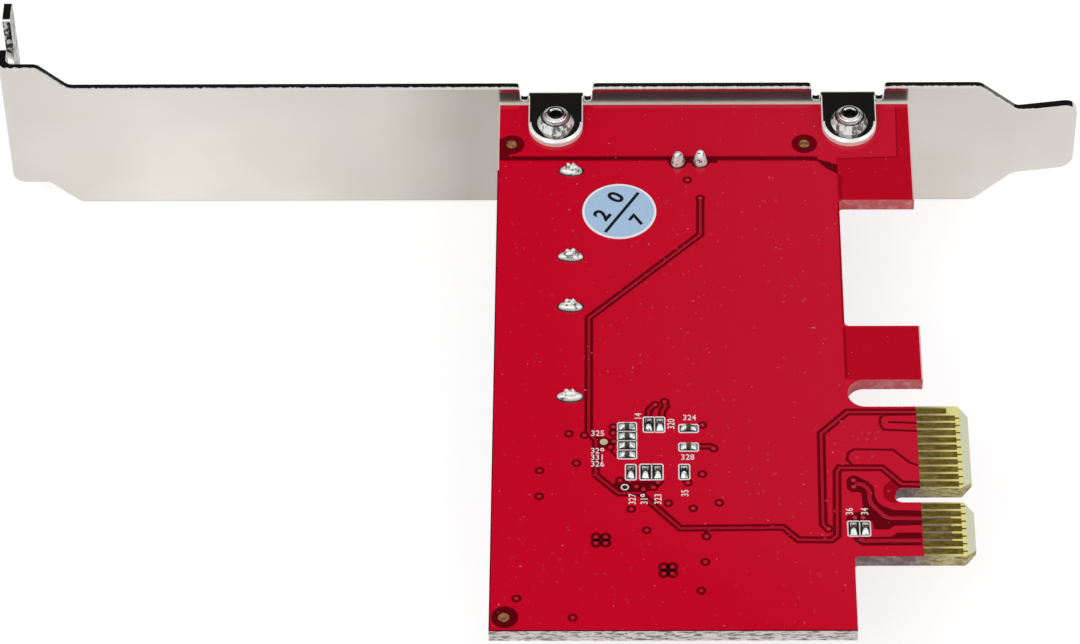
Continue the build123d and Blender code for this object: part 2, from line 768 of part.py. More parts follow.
def make_fiducials():
    places = [
        (fiducial_inset, fiducial_row_v), (second_fiducial_u, fiducial_row_v),
        (fiducial_inset, board_length - last_fiducial_inset),
        (chip_u - test_pad_offset, chip_v - test_pad_step),
    ]
    with BuildPart() as marks:
        with Locations(*[(board_x(u), board_y(v), solder_z) for u, v in places]):
            Cylinder(fiducial_diameter / 2, fiducial_thickness, align=(Align.CENTER, Align.CENTER, Align.MIN))
    return marks


os.makedirs("parts", exist_ok=True)

board = make_board()
board.part.label = "circuit_board"
export_step(board.part, "parts/circuit_board.step")

solder_contacts = make_contacts(solder_z, 1)
solder_contacts.part.label = "edge_contacts_solder_side"
export_step(solder_contacts.part, "parts/edge_contacts_solder_side.step")

component_contacts = make_contacts(component_z, -1)
component_contacts.part.label = "edge_contacts_component_side"
export_step(component_contacts.part, "parts/edge_contacts_component_side.step")

bracket = make_bracket()
bracket.part.label = "bracket"
export_step(bracket.part, "parts/bracket.step")

screw_1 = make_screw(tab_centres[0])
screw_1.part.label = "bracket_screw_1"
export_step(screw_1.part, "parts/bracket_screw_1.step")

screw_2 = make_screw(tab_centres[1])
screw_2.part.label = "bracket_screw_2"
export_step(screw_2.part, "parts/bracket_screw_2.step")

port_1 = make_port(port_centres[0])
port_1.part.label = "sata_port_1"
export_step(port_1.part, "parts/sata_port_1.step")

port_2 = make_port(port_centres[1])
port_2.part.label = "sata_port_2"
export_step(port_2.part, "parts/sata_port_2.step")

port_contacts_1 = make_port_contacts(port_centres[0])
port_contacts_1.part.label = "port_contacts_1"
export_step(port_contacts_1.part, "parts/port_contacts_1.step")

port_contacts_2 = make_port_contacts(port_centres[1])
port_contacts_2.part.label = "port_contacts_2"
export_step(port_contacts_2.part, "parts/port_contacts_2.step")

locks = make_locks()
locks.part.label = "port_locks"
export_step(locks.part, "parts/port_locks.step")

lock_joints = make_lock_joints()
lock_joints.part.label = "lock_joints"
export_step(lock_joints.part, "parts/lock_joints.step")

header_base = make_header_base()
header_base.part.label = "header_base"
export_step(header_base.part, "parts/header_base.step")

header_pins = make_header_pins()
header_pins.part.label = "header_pins"
export_step(header_pins.part, "parts/header_pins.step")

header_joints = make_header_joints()
header_joints.part.label = "header_joints"
export_step(header_joints.part, "parts/header_joints.step")

chip = make_chip()
chip.part.label = "controller_chip"
export_step(chip.part, "parts/controller_chip.step")

chip_leads = make_chip_leads()
chip_leads.part.label = "controller_leads"
export_step(chip_leads.part, "parts/controller_leads.step")

flash = make_flash()
flash.part.label = "flash_memory"
export_step(flash.part, "parts/flash_memory.step")

flash_leads = make_flash_leads()
flash_leads.part.label = "flash_leads"
export_step(flash_leads.part, "parts/flash_leads.step")

regulator = make_regulator()
regulator.part.label = "regulator"
export_step(regulator.part, "parts/regulator.step")

regulator_leads = make_regulator_leads()
regulator_leads.part.label = "regulator_leads"
export_step(regulator_leads.part, "parts/regulator_leads.step")

crystal_bottom = make_crystal_base()
crystal_bottom.part.label = "crystal_base"
export_step(crystal_bottom.part, "parts/crystal_base.step")

crystal_cover = make_crystal_lid()
crystal_cover.part.label = "crystal_lid"
export_step(crystal_cover.part, "parts/crystal_lid.step")

inductor = make_inductor()
inductor.part.label = "inductor"
export_step(inductor.part, "parts/inductor.step")

tantalum = make_tantalum()
tantalum.part.label = "tantalum_capacitor"
export_step(tantalum.part, "parts/tantalum_capacitor.step")

tantalum_ends = make_tantalum_ends()
tantalum_ends.part.label = "tantalum_ends"
export_step(tantalum_ends.part, "parts/tantalum_ends.step")

capacitors_solder = make_bodies(capacitors_below, solder_z)
capacitors_solder.part.label = "capacitors_solder_side"
export_step(capacitors_solder.part, "parts/capacitors_solder_side.step")

resistors_solder = make_bodies(resistors_below, solder_z)
resistors_solder.part.label = "resistors_solder_side"
export_step(resistors_solder.part, "parts/resistors_solder_side.step")

ends_solder = make_ends(capacitors_below + resistors_below, solder_z)
ends_solder.part.label = "soldered_ends_solder_side"
export_step(ends_solder.part, "parts/soldered_ends_solder_side.step")

capacitors_component = make_bodies(capacitors_above, component_z)
capacitors_component.part.label = "capacitors_component_side"
export_step(capacitors_component.part, "parts/capacitors_component_side.step")

ends_component = make_ends(capacitors_above, component_z)
ends_component.part.label = "soldered_ends_component_side"
export_step(ends_component.part, "parts/soldered_ends_component_side.step")

sticker = make_sticker()
sticker.part.label = "inspection_sticker"
export_step(sticker.part, "parts/inspection_sticker.step")

fiducials = make_fiducials()
fiducials.part.label = "fiducial_marks"
export_step(fiducials.part, "parts/fiducial_marks.step")
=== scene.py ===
import math
import random

import bmesh
import bpy
from mathutils import Matrix, Vector


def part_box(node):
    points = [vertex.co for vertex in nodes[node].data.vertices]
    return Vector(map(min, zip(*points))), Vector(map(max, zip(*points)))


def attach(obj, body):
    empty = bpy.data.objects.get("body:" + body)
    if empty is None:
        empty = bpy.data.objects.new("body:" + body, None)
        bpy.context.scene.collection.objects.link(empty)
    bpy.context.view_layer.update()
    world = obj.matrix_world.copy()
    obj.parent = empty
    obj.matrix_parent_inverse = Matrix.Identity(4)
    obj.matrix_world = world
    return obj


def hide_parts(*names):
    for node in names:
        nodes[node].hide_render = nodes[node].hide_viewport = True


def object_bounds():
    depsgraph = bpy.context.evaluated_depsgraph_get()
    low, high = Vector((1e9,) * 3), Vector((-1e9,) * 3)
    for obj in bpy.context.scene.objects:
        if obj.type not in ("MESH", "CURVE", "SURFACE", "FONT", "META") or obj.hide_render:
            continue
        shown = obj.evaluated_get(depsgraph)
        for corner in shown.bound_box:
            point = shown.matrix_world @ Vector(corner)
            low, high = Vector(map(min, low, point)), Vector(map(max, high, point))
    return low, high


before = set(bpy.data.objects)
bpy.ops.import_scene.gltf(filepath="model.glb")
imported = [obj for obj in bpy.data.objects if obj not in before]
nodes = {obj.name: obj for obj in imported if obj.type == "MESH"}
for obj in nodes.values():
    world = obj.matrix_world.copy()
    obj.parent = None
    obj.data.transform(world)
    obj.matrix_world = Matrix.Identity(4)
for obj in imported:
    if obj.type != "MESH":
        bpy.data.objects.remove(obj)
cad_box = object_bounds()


# Circuit board. Woven glass and epoxy laminate, 1.57 mm thick, routed to shape, with copper on both sides
# under a printed red solder mask, which looks bright where copper lies below it. The tongue beyond the mask
# is left bare, and its tip is ground to a bevel.
board_low, board_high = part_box("circuit_board")
board_left, board_rear, solder_face = board_low.x, board_high.y, board_high.z
board_front_v = (board_rear - board_low.y) * 1000
mask_end_u, wing_start_u, wing_end_v = 44.92, 37.6, 30.0
tongue_start_v, tongue_end_v = 43.5, 68.0
wing_rim_u, hook_rim_u = 45.9, 45.7
bracket_shade_v = 10.0
pale_rim_width, dark_rim_width, front_rim_width, rear_edge_width = 0.16, 0.13, 0.17, 0.6
mask_over_copper = (0.615, 0.0003, 0.0195, 1)
mask_milky = (0.60, 0.0075, 0.031, 1)
mask_dust = (0.66, 0.20, 0.22, 1)
rim_shade = (0.11, 0.001, 0.006, 1)
laminate_shaded = (0.29, 0.21, 0.09, 1)
laminate_pale = (0.85, 0.77, 0.22, 1)
laminate_bevel = (0.70, 0.74, 0.54, 1)
laminate_weave = (0.80, 0.74, 0.48, 1)
laminate_side = (0.74, 0.68, 0.36, 1)
edge_light = (0.90, 0.86, 0.86, 1)
edge_dark = (0.25, 0.205, 0.21, 1)
rim_highlight = (0.78, 0.52, 0.50, 1)
rear_edge_shade = (0.16, 0.105, 0.105, 1)
routed_pink, pink_fleck = (0.66, 0.13, 0.14, 1), (0.82, 0.42, 0.42, 1)
routed_brown, brown_fleck = (0.20, 0.13, 0.13, 1), (0.46, 0.38, 0.37, 1)


class Shade:
    """A value, colour or vector on its way through the nodes of a finish."""

    def __init__(self, finish, socket):
        self.finish, self.socket = finish, socket

    def _math(self, operation, *values):
        return self.finish.node("Math", {"operation": operation}, dict(enumerate(values)))

    def __add__(self, other):
        return self._math("ADD", self, other)

    def __sub__(self, other):
        return self._math("SUBTRACT", self, other)

    def __rsub__(self, other):
        return self._math("SUBTRACT", other, self)

    def __mul__(self, other):
        return self._math("MULTIPLY", self, other)

    def __truediv__(self, other):
        return self._math("DIVIDE", self, other)

    def __gt__(self, other):
        return self._math("GREATER_THAN", self, other)

    def __lt__(self, other):
        return self._math("LESS_THAN", self, other)

    def __abs__(self):
        return self._math("ABSOLUTE", self)

    def __pow__(self, other):
        return self._math("POWER", self, other)

    __radd__, __rmul__ = __add__, __mul__


class Finish:
    """A procedural finish: node() adds one node, and surface() closes it with the shader."""

    def __init__(self, name, owner=None):
        self.owner = owner or bpy.data.materials.new(name)
        self.owner.use_nodes = True
        self.tree = self.owner.node_tree
        self.tree.nodes.clear()

    def node(self, kind, settings=(), inputs=(), output=0):
        made = self.tree.nodes.new("ShaderNode" + kind)
        for key, value in dict(settings).items():
            if key == "stops":
                ramp = made.color_ramp
                while len(ramp.elements) < len(value):
                    ramp.elements.new(1.0)
                for element, (place, tone) in zip(ramp.elements, value):
                    element.position, element.color = place, tone
            else:
                setattr(made, key, value)
        for key, value in dict(inputs).items():
            if isinstance(value, Shade):
                self.tree.links.new(value.socket, made.inputs[key])
            else:
                made.inputs[key].default_value = value
        return Shade(self, made.outputs[output])

    def place(self, output="Object"):
        return self.node("TexCoord", output=output)

    def axes(self, vector):
        return [self.node("SeparateXYZ", {}, {0: vector}, axis) for axis in "XYZ"]

    def stretched(self, vector, x, y, z):
        return self.node("VectorMath", {"operation": "MULTIPLY"}, {0: vector, 1: (x, y, z)})

    def noise(self, vector, scale, detail=2.0, roughness=0.5):
        return self.node("TexNoise", {}, {"Vector": vector, "Scale": scale, "Detail": detail,
                                          "Roughness": roughness})

    def ramp(self, factor, *stops):
        return self.node("ValToRGB", {"stops": [(p, (t, t, t, 1) if isinstance(t, float) else t)
                                                for p, t in stops]}, {0: factor})

    def mix(self, factor, first, second):
        return self.node("Mix", {"data_type": "RGBA"}, {0: factor, 6: first, 7: second}, 2)

    def bump(self, height, strength, distance):
        return self.node("Bump", {}, {"Height": height, "Strength": strength, "Distance": distance})

    def surface(self, **values):
        sockets = {key.replace("_", " ").title().replace("Ior", "IOR"): value
                   for key, value in values.items()}
        shader = self.node("BsdfPrincipled", {}, sockets, "BSDF")
        self.node_out(shader)
        return self

    def node_out(self, shader):
        out = self.tree.nodes.new("ShaderNodeOutputMaterial")
        self.tree.links.new(shader.socket, out.inputs["Surface"])


def dress(finish, *names):
    for name in names:
        slots = nodes[name].data.materials
        slots.clear()
        slots.append(finish.owner)


def mask_tone(finish, base, milky):
    """Solder mask colour: a wide haze, faint clouds and the fine grain of the cured ink."""
    place = finish.place()
    x, y, _ = finish.axes(place)
    clouds = finish.noise(place, 28.0, 3.0)
    fade_span, cloud_share, rise_along, rise_across, haze_start = 0.08, 0.3, 17.0, 1.5, 0.12
    front_fade = finish.ramp((board_rear - y) / fade_span, (0.74, 0.0), (0.92, 0.30))
    haze = clouds * cloud_share + (x - board_left) * rise_along + (y - board_rear) * rise_across
    haze = haze - haze_start - front_fade
    grain = finish.noise(place, 2600.0, 2.0)
    tone = finish.mix(finish.ramp(haze, (0.08, 0.0), (0.62, 1.0)), base, milky)
    dust = finish.ramp(finish.noise(place, 2300.0, 1.0), (0.765, 0.0), (0.79, 0.7))
    tone = finish.mix(dust, tone, mask_dust)
    orange_peel = finish.noise(place, 900.0, 2.0)
    return tone, grain * 0.06 + 0.10, finish.bump(orange_peel, 0.04, 0.0001)


board_finish = Finish("red_mask_and_laminate")
place = board_finish.place()
x, y, _ = board_finish.axes(place)
_, normal_y, normal_z = board_finish.axes(board_finish.place("Normal"))
masked_tone, masked_roughness, masked_bump = mask_tone(board_finish, mask_over_copper, mask_milky)
u_mm, v_mm = (x - board_left) * 1000, (board_rear - y) * 1000
on_tongue = (v_mm > tongue_start_v) * (v_mm < tongue_end_v)
bare = (u_mm > mask_end_u) * on_tongue
# Painted highlight: a pale line along the wing, the hook and the left rim near the bracket.
wing_rim = (u_mm > wing_rim_u) * (v_mm < wing_end_v)
hook_rim = (u_mm > hook_rim_u) * (v_mm > wing_end_v) * (v_mm < tongue_start_v)
left_rim = (u_mm < pale_rim_width) * (v_mm < bracket_shade_v)
# Painted shade: a dark line along the rest of the left rim and along the front edge.
shaded_rim = (u_mm < dark_rim_width) * (v_mm > bracket_shade_v)
shaded_rim = shaded_rim + (v_mm > board_front_v - front_rim_width)
ramp_span = 50
weave = board_finish.noise(board_finish.stretched(place, 900, 900, 900), 1.0, 3.0)
toward_tip = board_finish.ramp(u_mm / ramp_span, (0.925, 0.0), (0.975, 1.0))
bare_tone = board_finish.mix(toward_tip, laminate_shaded, laminate_pale)
bare_tone = board_finish.mix(abs(normal_z) > 0.97, laminate_bevel, bare_tone)
bare_tone = board_finish.mix(weave * 0.35, bare_tone, laminate_weave)
layers = board_finish.noise(board_finish.stretched(place, 850, 850, 4200), 1.0, 4.0, 0.7)
fibres = board_finish.ramp(layers, (0.43, 0.0), (0.53, 1.0))
edge_tone = board_finish.mix(fibres, edge_dark, edge_light)
flecks = board_finish.ramp(board_finish.noise(place, 1100.0, 3.0, 0.7), (0.45, 0.0), (0.72, 1.0))
pink_tone = board_finish.mix(flecks * 0.7, routed_pink, pink_fleck)
brown_tone = board_finish.mix(flecks, routed_brown, brown_fleck)
bare_side = board_finish.mix(fibres * 0.8, laminate_shaded, laminate_side)
past_mask = board_finish.ramp(u_mm / ramp_span, (0.88, 0.0), (0.93, 1.0))
tongue_side = board_finish.mix(past_mask, brown_tone, bare_side)
beyond_wing_start = u_mm > wing_start_u
edge_tone = board_finish.mix(beyond_wing_start * (v_mm < tongue_start_v), edge_tone, pink_tone)
edge_tone = board_finish.mix(beyond_wing_start * on_tongue, edge_tone, tongue_side)
flat = abs(normal_z) > 0.5
tone = board_finish.mix(wing_rim + hook_rim + left_rim, masked_tone, rim_highlight)
tone = board_finish.mix(shaded_rim, tone, rim_shade)
tone = board_finish.mix(bare, tone, bare_tone)
tone = board_finish.mix(flat, edge_tone, tone)
rough = masked_roughness + (1 - flat) * 0.5 + bare * 0.3
# The rear edge, which faces the bracket, is painted dark: painted shade, seen in the plate's mirror.
rear = (normal_y > 0.5) * (v_mm < rear_edge_width)
tone = board_finish.mix(rear, tone, rear_edge_shade)
board_finish.surface(base_color=tone, roughness=rough, normal=masked_bump, specular_ior_level=0.3)
dress(board_finish, "circuit_board")


def board_point(u, v, lift):
    """A place on the solder side: millimetres from the free edge, from the rear edge and above the mask."""
    return (board_left + u / 1000, board_rear - v / 1000, solder_face + lift / 1000)


def to_mesh(name, vertices, faces, finish, smooth=False):
    mesh = bpy.data.meshes.new(name)
    mesh.from_pydata(vertices, [], faces)
    mesh.materials.append(finish.owner)
    for polygon in mesh.polygons:
        polygon.use_smooth = smooth
    piece = bpy.data.objects.new(name, mesh)
    bpy.context.scene.collection.objects.link(piece)
    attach(piece, "root")
    return piece


# Artwork in the copper. Etched copper, 35 microns thick, under the same red mask. The gaps round each track
# and via show as dark lines, because no copper lies under the mask there.
class Layer:
    """Low shapes on the solder side, in board millimetres, joined into one piece."""

    def __init__(self, foot=0.0):
        self.vertices, self.faces, self.foot = [], [], foot

    def polygon(self, outline, top, slope=0.0):
        count, start = len(outline), len(self.vertices)
        area = sum(a[0] * b[1] - b[0] * a[1] for a, b in zip(outline, outline[1:] + outline[:1]))
        if area > 0:
            outline = outline[::-1]
        self.vertices += [board_point(u, v, top) for u, v in outline]
        self.faces.append(list(range(start, start + count)))
        self.skirt(outline, start, slope)

    def skirt(self, outline, start, slope):
        count, foot_start = len(outline), len(self.vertices)
        middle = Vector((sum(p[0] for p in outline) / count, sum(p[1] for p in outline) / count))
        for u, v in outline:
            out = (Vector((u, v)) - middle).normalized() * slope
            self.vertices.append(board_point(u + out.x, v + out.y, self.foot))
        for i in range(count):
            j = (i + 1) % count
            self.faces.append([start + i, foot_start + i, foot_start + j, start + j])

    def disc(self, u, v, radius, top, steps=20, stretch=1.0, slope=0.0):
        turn = [2 * math.pi * i / steps for i in range(steps)]
        outline = [(u + radius * stretch * math.cos(a), v + radius * math.sin(a)) for a in turn]
        self.polygon(outline, top, slope)

    def ring(self, u, v, outer, inner, top, steps=18):
        start = len(self.vertices)
        profile = [(outer, self.foot), (outer * 0.9 + inner * 0.1, top), (inner * 0.9 + outer * 0.1, top),
                   (inner, self.foot)]
        for i in range(steps):
            a = 2 * math.pi * i / steps
            self.vertices += [board_point(u + radius * math.cos(a), v - radius * math.sin(a), lift)
                              for radius, lift in profile]
        rows = len(profile)
        for i in range(steps):
            j = (i + 1) % steps
            for k in range(rows - 1):
                a, b = start + i * rows + k, start + j * rows + k
                self.faces.append([a, b, b + 1, a + 1])

    def strip(self, points, width, top, slope=0.0):
        """A mitred strip along the points, with low sides down to the mask."""
        line = [Vector(p) for p in points]
        start = len(self.vertices)
        for i, point in enumerate(line):
            before = (point - line[i - 1]).normalized() if i else None
            after = (line[i + 1] - point).normalized() if i + 1 < len(line) else before
            before = after if before is None else before
            along = (before + after).normalized()
            across = Vector((-along.y, along.x))
            stretch = 1 / max(0.4, across.dot(Vector((-before.y, before.x))))
            for reach, lift in ((width / 2 + slope, self.foot), (width / 2, top),
                                (-width / 2, top), (-width / 2 - slope, self.foot)):
                place_uv = point + across * reach * stretch
                self.vertices.append(board_point(place_uv.x, place_uv.y, lift))
        for i in range(len(line) - 1):
            a = start + 4 * i
            for k in range(3):
                self.faces.append([a + k, a + k + 1, a + k + 5, a + k + 4])
        last = start + 4 * (len(line) - 1)
        self.faces += [[start + 3, start + 2, start + 1, start], [last, last + 1, last + 2, last + 3]]

    def piece(self, name, finish, slot):
        return to_mesh(name, self.vertices, self.faces, finish)


def mask_shade(name, base, milky):
    """One tone of the same mask, as it looks over another ground."""
    finish = Finish(name)
    tone, rough, relief = mask_tone(finish, base, milky)
    return finish.surface(base_color=tone, roughness=rough, normal=relief, specular_ior_level=0.3)


bare_area_finish = mask_shade("mask_over_laminate", (0.53, 0.0002, 0.0125, 1), (0.52, 0.0015, 0.016, 1))
# The dark gap tone also paints shade round the header joints.
gap_and_shade_finish = mask_shade("mask_in_gaps_and_painted_shade", (0.12, 0.0003, 0.004, 1), (0.145, 0.0006, 0.006, 1))
halo_finish = mask_shade("mask_round_the_marks", (0.15, 0.0003, 0.004, 1), (0.16, 0.0006, 0.006, 1))
shade_finish = mask_shade("mask_over_inner_gaps", (0.35, 0.0003, 0.008, 1), (0.35, 0.001, 0.010, 1))
track_finish = mask_shade("mask_over_tracks", (0.44, 0.002, 0.018, 1), (0.46, 0.008, 0.028, 1))

tracks = [
    [(22.45, 14.33), (22.37, 19.73), (10.19, 31.88), (10.21, 47.76), (10.42, 48.38), (10.97, 49.07),
     (10.98, 53.86), (13.32, 56.31), (15.57, 56.30), (16.32, 57.17), (19.76, 61.03), (30.45, 60.93),
     (31.97, 62.58), (35.40, 62.62), (36.03, 62.0), (36.28, 53.45), (36.56, 52.93), (41.0, 52.93),
     (43.0, 55.13), (44.91, 55.2)],
    [(44.91, 45.26), (37.6, 45.26), (34.76, 48.2), (34.60, 60.55), (35.14, 61.15)],
    [(16.5, 46.1), (16.56, 45.0), (16.95, 44.45), (17.3, 44.15)],
    [(17.95, 46.1), (18.02, 45.0), (18.4, 44.45), (18.25, 43.79)],
    [(21.6, 49.96), (23.0, 49.96), (23.36, 50.2)],
]
track_width, pair_width, track_gap, fine_gap = 0.27, 0.42, 0.80, 0.26
track_slope, shade_reach = 0.03, 0.18
bare_top, shade_top, track_top = 0.006, 0.009, 0.03
small_gap_top, gap_top, line_gap_top, wide_gap_top = 0.0118, 0.012, 0.0122, 0.0125
ring_top, group_ring_top, mark_ring_top, corner_ring_top = 0.014, 0.0145, 0.015, 0.0155
gaps = Layer()
cores = Layer()
shades = Layer()
for line in tracks:
    shades.strip(line, track_gap + shade_reach, shade_top)
    gaps.strip(line, track_gap, gap_top)
    cores.strip(line, track_width, track_top, track_slope)
rear_gap = [(0.18, 8.24), (34.6, 8.33), (35.5, 8.42)]
gaps.strip(rear_gap, 0.46, gap_top)
shades.strip(rear_gap, 0.78, shade_top)
gaps.polygon([(35.2, 8.35), (36.4, 8.75), (37.72, 9.3), (37.74, 10.75), (36.6, 10.0)], gap_top)
gaps.polygon([(12.75, 55.2), (13.0, 54.75), (14.1, 54.7), (17.5, 54.7), (18.2, 54.75), (17.8, 55.3),
              (17.1, 55.95), (16.0, 56.1), (14.9, 56.0), (13.3, 55.9)], small_gap_top)
gaps.polygon([(19.9, 54.6), (21.1, 54.6), (21.05, 55.1), (20.6, 55.3), (20.2, 55.1)], small_gap_top)
gaps.strip([(12.4, 49.9), (12.6, 50.7), (13.15, 51.4)], 0.25, small_gap_top)
gaps.strip([(18.9, 8.62), (24.4, 8.62)], 0.75, wide_gap_top)
for line in ([(44.88, 45.62), (41.45, 45.66), (41.05, 46.18), (41.02, 47.0), (41.37, 47.72), (44.85, 47.89)],
             [(41.91, 46.67), (44.88, 46.78)],
             [(44.77, 52.61), (43.92, 52.19), (42.25, 50.48), (38.15, 50.4), (37.52, 50.89), (37.36, 51.85),
              (37.96, 52.56)]):
    gaps.strip(line, fine_gap, line_gap_top)
for line in ([(38.1, 55.03), (38.88, 55.21), (39.39, 55.66), (39.56, 56.16), (39.55, 57.17), (39.74, 57.79),
              (40.24, 58.52), (40.99, 59.41), (41.58, 59.73), (44.87, 59.76)],
             [(38.28, 62.46), (38.78, 62.74), (44.74, 62.69)]):
    cores.strip(line, pair_width, track_top, track_slope)
gaps.polygon([(37.2, 54.69), (37.52, 54.13), (38.05, 53.96), (38.57, 54.19), (39.04, 54.53), (39.59, 54.93),
              (39.96, 55.43), (40.07, 55.94), (40.13, 56.84), (40.4, 57.57), (40.86, 58.07), (41.97, 58.63),
              (44.89, 58.73), (44.87, 60.67), (42.06, 60.73), (41.39, 61.22), (39.88, 61.21), (39.7, 60.08),
              (36.98, 59.96), (37.08, 59.52), (37.88, 58.96), (38.75, 58.85), (38.82, 58.18), (38.77, 57.06),
              (38.74, 56.39), (38.32, 56.18), (37.71, 56.22), (37.29, 55.82)], gap_top)
gaps.polygon([(37.55, 62.35), (38.37, 62.27), (41.65, 62.19), (42.24, 61.66), (44.79, 61.67), (44.76, 63.36),
              (38.59, 63.38), (38.0, 62.96)], gap_top)
ringed = [(8.11, 48.20), (9.76, 48.40), (8.91, 52.25), (22.13, 53.75), (14.66, 58.47), (18.54, 57.67),
          (21.11, 58.37), (23.84, 57.63), (22.22, 47.03), (23.39, 50.26), (17.26, 44.19), (18.26, 43.79),
          (13.51, 54.60), (15.23, 55.42), (15.95, 55.78), (17.00, 55.53), (17.48, 54.84), (20.61, 54.92),
          (12.80, 47.26), (12.79, 48.11), (12.88, 49.24), (12.49, 50.06), (5.05, 53.25), (5.03, 56.72),
          (2.82, 70.26), (8.61, 72.76), (16.26, 61.29), (22.46, 62.14), (22.28, 65.50), (21.81, 69.27),
          (21.05, 11.58), (37.93, 59.65), (38.77, 59.65), (37.94, 54.64), (37.96, 55.49), (35.14, 61.15),
          (22.45, 14.33)]
groups = [(10.99, 62.18), (11.99, 62.18), (10.99, 62.99), (11.99, 62.99),
          (17.99, 66.14), (18.89, 66.14), (17.99, 67.02), (18.89, 67.02)]
ring_radius, group_ring_radius, mark_ring_radius = 0.52, 0.60, 1.42
rings = Layer()
for u, v in ringed:
    rings.disc(u, v, ring_radius, ring_top)
for u, v in groups:
    rings.disc(u, v, group_ring_radius, group_ring_top)
rings.strip([(22.45, 61.2), (22.46, 62.14)], 0.5, wide_gap_top)
for u, v in ((1.56, 6.13), (34.15, 6.11)):
    rings.disc(u, v, mark_ring_radius, mark_ring_top, 32)
gaps.disc(1.63, 72.68, 1.40, corner_ring_top, 32)
rings.disc(11.72, 49.39, 0.8, mark_ring_top, 28)
rings.polygon([(0.18, 5.2), (1.4, 5.0), (1.7, 7.3), (0.9, 8.1), (0.18, 8.3)], group_ring_top)
rings.piece("mark_and_via_clearances", halo_finish, "solder_mask")
shades.polygon([(41.14, 55.38), (41.78, 54.7), (42.31, 54.59), (42.97, 55.5), (42.38, 56.11), (42.21, 56.96),
                (42.35, 57.74), (41.66, 57.63), (41.08, 56.95), (40.94, 56.17)], shade_top)
for line, width in (([(37.95, 10.8), (37.95, 14.55)], 0.42),
                    ([(37.75, 8.45), (44.4, 8.12), (44.56, 0.4)], 0.16),
                    ([(37.62, 15.0), (37.62, 32.8)], 0.2),
                    ([(37.7, 33.4), (37.7, 40.4)], 0.3)):
    shades.strip(line, width, shade_top)
shades.piece("pour_edges", shade_finish, "solder_mask")
via_radius, via_top, via_slope = 0.17, 0.035, 0.12
small_via_hole, small_via_top = 0.05, 0.015
vias = Layer()
for u, v in ringed + groups:
    vias.disc(u, v, via_radius, via_top, 18, slope=via_slope)
random.seed(41)
tented = [(36.15, 49.64), (40.05, 51.39), (38.44, 51.48), (40.3, 55.38), (41.61, 56.07), (36.88, 41.5),
          (36.92, 46.56), (39.09, 48.15), (39.83, 48.16), (40.84, 48.07), (38.66, 49.03), (39.6, 49.03),
          (40.48, 48.95)]
small_via_count, via_spacing = 190, 0.95
parts_left, parts_right, parts_rear, parts_front = 13, 22.5, 45, 57.5
sticker_u, sticker_v, sticker_reach = 13.51, 16.33, 4.5
while len(tented) < small_via_count:
    u, v = random.uniform(1.0, 36.9), random.uniform(9.4, 73.6)
    clear_of_vias = all(math.hypot(u - a, v - b) > via_spacing for a, b in ringed + groups)
    clear_of_sticker = math.hypot(u - sticker_u, v - sticker_v) > sticker_reach
    among_small_parts = parts_left < u < parts_right and parts_rear < v < parts_front
    if clear_of_vias and clear_of_sticker and not among_small_parts:
        tented.append((u, v))
for u, v in tented:
    vias.ring(u, v, via_radius, small_via_hole, small_via_top, 10)
bare_areas = Layer()
bare_areas.polygon([(37.6, 8.3), (44.4, 8.05), (44.55, 0.3), (45.88, 0.3), (45.88, 14.6), (38.1, 14.6),
                    (37.6, 14.1)], bare_top)
bare_areas.polygon([(37.5, 33.3), (45.68, 33.3), (45.68, 40.7), (37.5, 40.7)], bare_top)
bare_areas.piece("mask_over_bare_areas", bare_area_finish, "solder_mask")
gaps.piece("track_clearances", gap_and_shade_finish, "solder_mask")
cores.piece("tracks", track_finish, "solder_mask")
via_finish = mask_shade("mask_over_vias", (0.52, 0.010, 0.032, 1), (0.55, 0.035, 0.06, 1))
vias.piece("tented_vias", via_finish, "solder_mask")


# Silkscreen. White epoxy ink, printed through a screen over the cured mask and baked hard: a frame round
# each small part or group of parts, and plain numbers beside the frames.
ink_finish = Finish("white_ink")
grain = ink_finish.noise(ink_finish.place(), 5200.0, 2.0)
ink_finish.surface(base_color=ink_finish.mix(grain, (0.78, 0.70, 0.69, 1), (0.98, 0.93, 0.92, 1)),
                   roughness=0.55, normal=ink_finish.bump(grain, 0.15, 0.00002))
frame_width, frame_inset, corner_cut, ink_top = 0.135, 0.07, 0.13, 0.04
divider_width = frame_width * 0.9
frames = Layer()
outlines = [(13.19, 46.62, 15.33, 51.74), (15.91, 45.86, 18.32, 48.09), (19.67, 46.90, 21.86, 48.13),
            (19.64, 49.46, 21.84, 50.70), (14.00, 52.37, 15.27, 54.60), (15.50, 52.34, 18.08, 54.60),
            (19.61, 52.37, 20.88, 54.56), (37.08, 60.07, 39.56, 62.20)]
outlines = [(u0 + frame_inset, v0 + frame_inset, u1 - frame_inset, v1 - frame_inset)
            for u0, v0, u1, v1 in outlines]
for u0, v0, u1, v1 in outlines:
    middle = (u0 + u1) / 2
    frames.strip([(middle, v0), (u1 - corner_cut, v0), (u1, v0 + corner_cut), (u1, v1 - corner_cut),
                  (u1 - corner_cut, v1), (u0 + corner_cut, v1), (u0, v1 - corner_cut), (u0, v0 + corner_cut),
                  (u0 + corner_cut, v0), (middle, v0)], frame_width, ink_top)
for u, v0, v1 in ((17.17, 45.86, 48.09), (16.82, 52.34, 54.60), (38.38, 60.07, 62.20)):
    frames.strip([(u, v0), (u, v1)], divider_width, ink_top)
for v in (47.9, 49.18, 50.46):
    frames.strip([(13.19, v), (15.33, v)], divider_width, ink_top)
ringed_dot_u, ringed_dot_v = 14.00, 55.52
frames.ring(ringed_dot_u, ringed_dot_v, 0.43, 0.29, ink_top)
frames.piece("silkscreen_frames", ink_finish, "solder_mask")
